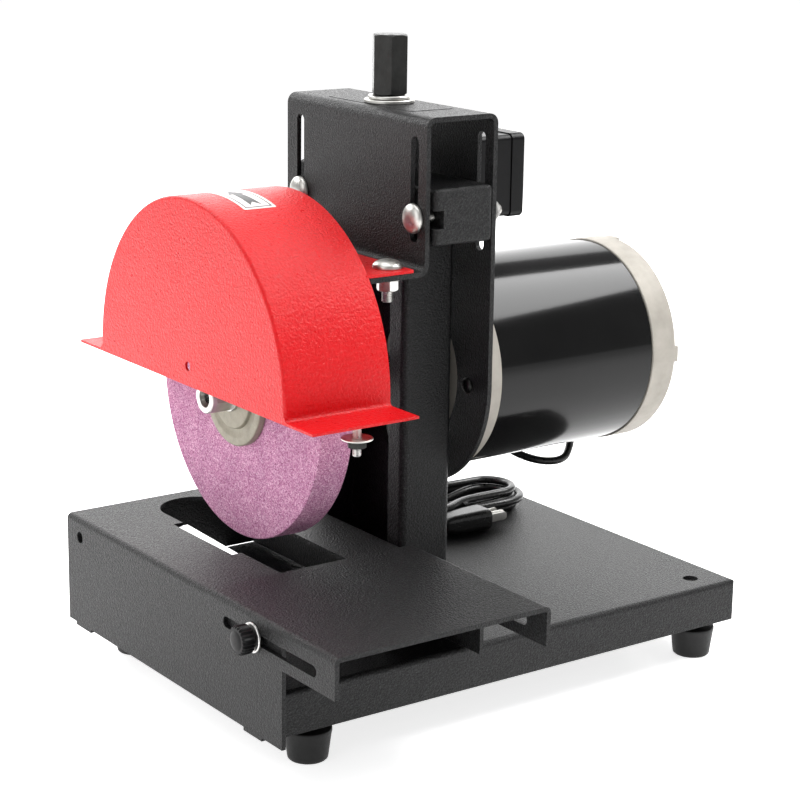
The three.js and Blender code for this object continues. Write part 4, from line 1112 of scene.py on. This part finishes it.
def make_motor():
    x0, x1 = SHELL_LOW.x, SHELL_HIGH.x
    radius = (SHELL_HIGH.z - SHELL_LOW.z) / 2
    end = box("rear_bell")[1].x
    shell = turned("x", [(radius - 3, x0), (radius - 0.4, x0), (radius, x0 + 0.5), (radius, x1 - 0.5),
        (radius - 0.4, x1), (radius - 3, x1)], AXIS, 240)
    finish_piece(shell, "motor_tube", "head", "gloss_black", "motor_shell", 0)
    face = HEAD_HIGH.x + GAP
    front = [(13.5, face - PLATE), (54.6, face - PLATE), (55, face - PLATE + 0.4), (55, face), (72, face),
        (73.6, face + 0.5), (radius - 0.7, face + 2), (radius - 0.5, face + 4), (radius - 0.5, x0 - 11.6),
        (radius, x0 - 10.6), (radius + 1, x0 - 9.6), (radius + 1, x0 - GAP - 0.8),
        (radius + 0.4, x0 - GAP), (radius - 7, x0 - GAP), (radius - 11, face + 8), (22, face + 5),
        (22, x0 - 4), (17.7, x0 - 4), (17.7, face + 6), (13.5, face + 6)]
    finish_piece(turned("x", front, AXIS, 192), "front_bell_casting", "head", "cast_alloy", "front_bell", 0)
    seam = x1 + GAP
    corner_radius = 4
    rear = [(radius - 12, seam), (radius + 0.5, seam), (radius + 1, seam + 0.5), (radius + 1, end - 6)]
    rear += [(radius + 1 - corner_radius * (1 - math.cos(math.radians(a))), end - 6
        + corner_radius * math.sin(math.radians(a))) for a in range(10, 91, 10)]
    rear += [(radius - 12, end - 1.7), (30, end - 1.6), (28, end - 1.2), (0, end - 1.2), (0, end - 6),
        (17.7, end - 6), (17.7, end - 22), (22, end - 22), (22, end - 6), (radius - 12, end - 6)]
    bell = turned("x", rear, AXIS, 192)
    bosses, tips = [], []
    for degrees in (0, 90, 180, 270):
        a = math.radians(degrees)
        out, along = (math.cos(a), math.sin(a)), (-math.sin(a), math.cos(a))

        def corner(r, s):
            return (AXIS[0] + out[0] * r + along[0] * s, AXIS[1] + out[1] * r + along[1] * s)

        profile = [corner(radius - 14, -6), corner(radius + 0.4, -6), corner(radius + 1.0, -4.6),
            corner(radius + 1.0, 4.6), corner(radius + 0.4, 6), corner(radius - 14, 6)]
        bosses.append(pulled("x", profile, seam + 0.6, end - 1.2))
        seat = corner(radius - 5.5, 0)
        tips.append(join(hexagon("x", 8.2, end - 2.2, end - 0.4, seat, 0.6, (False, True), 8),
            rod("x", 1.9, end - 2.2, end - 0.02, seat, 24)))
    bell = join(bell, *bosses)
    finish_piece(bell, "rear_bell_casting", "head", "cast_alloy", "rear_bell", 0.5, 3, 35)
    finish_piece(join(tips[0], *tips[1:]), "motor_tie_bolts", "head", "black_oxide", (), 0.1, 1)
    for i, place in enumerate(motor_screw_places()):
        low, high = box(f"motor_screw_{i + 1}")
        seat = HEAD_HIGH.x - PLATE - GAP
        dome = dome_profile(5.4, seat - low.x, 0.8, seat, -1)[::-1]
        head = turned("x", dome + [(2.9, seat), (2.9, high.x), (0, high.x)], place, 40)
        cross = [block(low.x - 1, low.x + 1.8, place[0] - a, place[0] + a, place[1] - b, place[1] + b)
            for a, b in ((2.6, 0.55), (0.55, 2.6))]
        finish_piece(cut(head, *cross), f"motor_pan_screw_{i + 1}", "head", "black_oxide",
            f"motor_screw_{i + 1}", 0.08, 1)


# ---- switch box ----


def rounded_box(x0, x1, y0, y1, z0, z1, corner, face, ends=(True, True)):
    """A box with rounded long edges (along x) and softened end faces."""
    rings = []
    def ring(inset, x):
        r = max(corner - inset, 0.3)
        return (rounded_rect(y0 + inset, y1 - inset, z0 + inset, z1 - inset, [r] * 4, 8), x)
    steps = [math.pi / 2 * i / 5 for i in range(6)]
    rings += [ring(face * (1 - math.sin(a)), x0 + face * (1 - math.cos(a)))
        for a in steps] if ends[0] else [ring(0, x0)]
    rings += [ring(face * (1 - math.cos(a)), x1 - face * (1 - math.sin(a)))
        for a in steps] if ends[1] else [ring(0, x1)]
    return lofted("x", rings)


def make_switch_box():
    cover_low, cover_high = box("switch_cover")
    box_low, box_high = box("switch_box")
    x0, seam, x1 = box_low.x, box_high.x, cover_high.x
    y0, y1, z0, z1 = box_low.y, box_high.y, cover_low.z + 0.8, box_high.z
    wall = 2.2
    body = rounded_box(x0, seam, y0, y1, z0, z1, 4, 1.0, (True, False))
    body = cut(body, pulled("x", rounded_rect(y0 + wall, y1 - wall, z0 + wall, z1 - wall, [2] * 4), x0
        + wall, seam + 1))
    sleeve = turned("z", [(2.3, box_low.z), (4.8, box_low.z), (5.3, box_low.z + 1), (5.6, z0 - 2),
        (5.6, z0 + 1), (2.3, z0 + 1)], SWITCH_EXIT, 40)
    body = join(cut(body, rod("z", 2.3, z0 - 2, z0 + wall + 1, SWITCH_EXIT)), sleeve)
    finish_piece(body, "switch_housing", "head", "black_plastic", "switch_box", 0.25)
    middle, level = (y0 + y1) / 2, (z0 + z1) / 2
    cover = rounded_box(cover_low.x, x1, y0 - 0.8, y1 + 0.8, z0 - 0.8, z1 + 0.8, 4.6, 1.4, (False, True))
    cover = cut(cover, pulled("x", rounded_rect(y0 + 1.5, y1 - 1.5, z0 + 1.5, z1 - 1.5, [2] * 4),
        cover_low.x - 1, x1 - wall), pulled("x",
        rounded_rect(middle - 12, middle + 12, level - 16, level + 16, [1] * 4), x1 - wall - 1, x1 + 1),
        *[rod("x", 1.9, x1 - 0.9, x1 + 1, (middle + a * 25, level + b * 21), 28) for a in (-1, 1)
        for b in (-1, 1)])
    finish_piece(cover, "switch_lid", "head", "black_plastic", "switch_cover", 0.25)
    pivot = box("switch_rocker")[0].x
    tip = box("switch_rocker")[1].x
    profile = [(pivot, level - 13.5)] + [(tip - 1.7 + 1.7 * (abs(t) ** 1.4), level + 13.5 * t)
        for t in [i / 12 for i in range(-12, 13)]]
    profile += [(pivot, level + 13.5)]
    rocker = pulled("y", profile, middle - 11, middle + 11)
    marks = [block(tip - 0.9, tip + 1, middle - 0.6, middle + 0.6, level + 5.5, level + 10.5)]
    ring = cut(rod("x", 2.6, tip - 0.75, tip + 1, (middle, level - 8), 32),
        rod("x", 1.7, tip - 2, tip + 2, (middle, level - 8), 32))
    finish_piece(cut(rocker, *marks, ring), "rocker_key", "rocker", "black_plastic", "switch_rocker", 0.25)


# ---- the hidden nodes that stay ----


def dress_hidden_nodes():
    finishes = {"inner_flange": "olive_flange", "front_bearing": "machined_steel",
        "rear_bearing": "machined_steel", "stator": "machined_steel",
        "stator_windings": "enamelled_copper", "rotor": "machined_steel", "cooling_fan": "black_plastic",
        "capacitor": "capacitor_can"}
    for node, material in finishes.items():
        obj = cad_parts[node]
        for slot in obj.material_slots:
            slot.material = MATERIALS[material]


# ---- stage ----


def make_stage():
    reach = 6000
    corners = [(x * reach, y * reach, FLOOR) for x, y in ((-1, -1), (1, -1), (1, 1), (-1, 1))]
    floor = mesh_object("floor", corners, [(0, 1, 2, 3)])
    floor.name = "floor"
    paint = Paint("pale_floor", (0.84, 0.84, 0.84), 0.9, Specular_IOR_Level=0.0,
        Emission_Color=(1, 1, 1, 1), Emission_Strength=0.76)
    paint.mottled(paint.noise(3, 3), (0.82, 0.82, 0.82), (0.86, 0.86, 0.86))
    floor.data.materials.append(paint.material)
    world = bpy.data.worlds.new("studio")
    bpy.context.scene.world = world
    world.use_nodes = True
    background = world.node_tree.nodes["Background"]
    background.inputs["Color"].default_value = (1, 1, 1, 1)
    seen = world.node_tree.nodes.new("ShaderNodeLightPath").outputs["Is Camera Ray"]
    strength = world.node_tree.nodes.new("ShaderNodeMapRange")
    strength.inputs["To Min"].default_value = 0.3
    strength.inputs["To Max"].default_value = 1.0
    world.node_tree.links.new(seen, strength.inputs["Value"])
    world.node_tree.links.new(strength.outputs["Result"], background.inputs["Strength"])
    bpy.context.scene.view_settings.view_transform = "Standard"


def area_light(name, place, target, size, power):
    """A soft rectangular light. Places are millimetres, size is metres, power is watts."""
    data = bpy.data.lights.new(name, "AREA")
    data.shape = "RECTANGLE"
    data.size, data.size_y = size
    data.energy = power
    light = bpy.data.objects.new(name, data)
    place, target = metres(place), metres(target)
    light.rotation_mode = "QUATERNION"
    light.rotation_quaternion = (target - place).to_track_quat("-Z", "Y")
    light.location = place
    light.visible_camera = False
    in_scene(light)


def make_lights():
    centre = (210, 120, 180)
    area_light("overhead", (150, 200, 1700), (210, 150, 180), (1.6, 1.2), 13)
    area_light("left_panel", (-1500, -300, 900), centre, (1.2, 1.4), 9)
    area_light("front_panel", (700, -1700, 900), centre, (1.4, 1.0), 1.5)
    area_light("back_panel", (1340, 1690, 760), centre, (3.0, 1.5), 34)
    area_light("motor_strip", (1159, -200, 1390), (310, 150, 185), (1.3, 0.55), 24)
    area_light("rim_panel", (-300, 1350, 1050), centre, (1.3, 0.6), 14)
    area_light("low_panel", (-420, 760, 90), (34, 150, 160), (0.9, 0.25), 0.9)


make_tray()
make_bed()
make_feet()
make_table()
make_table_knob()
make_column()
make_crossbar()
make_guide_bolts()
make_lift_screw()
make_head()
make_guard()
make_label()
make_deflector_stud()
make_wheel()
make_motor()
make_switch_box()
dress_hidden_nodes()
make_stage()
make_lights()
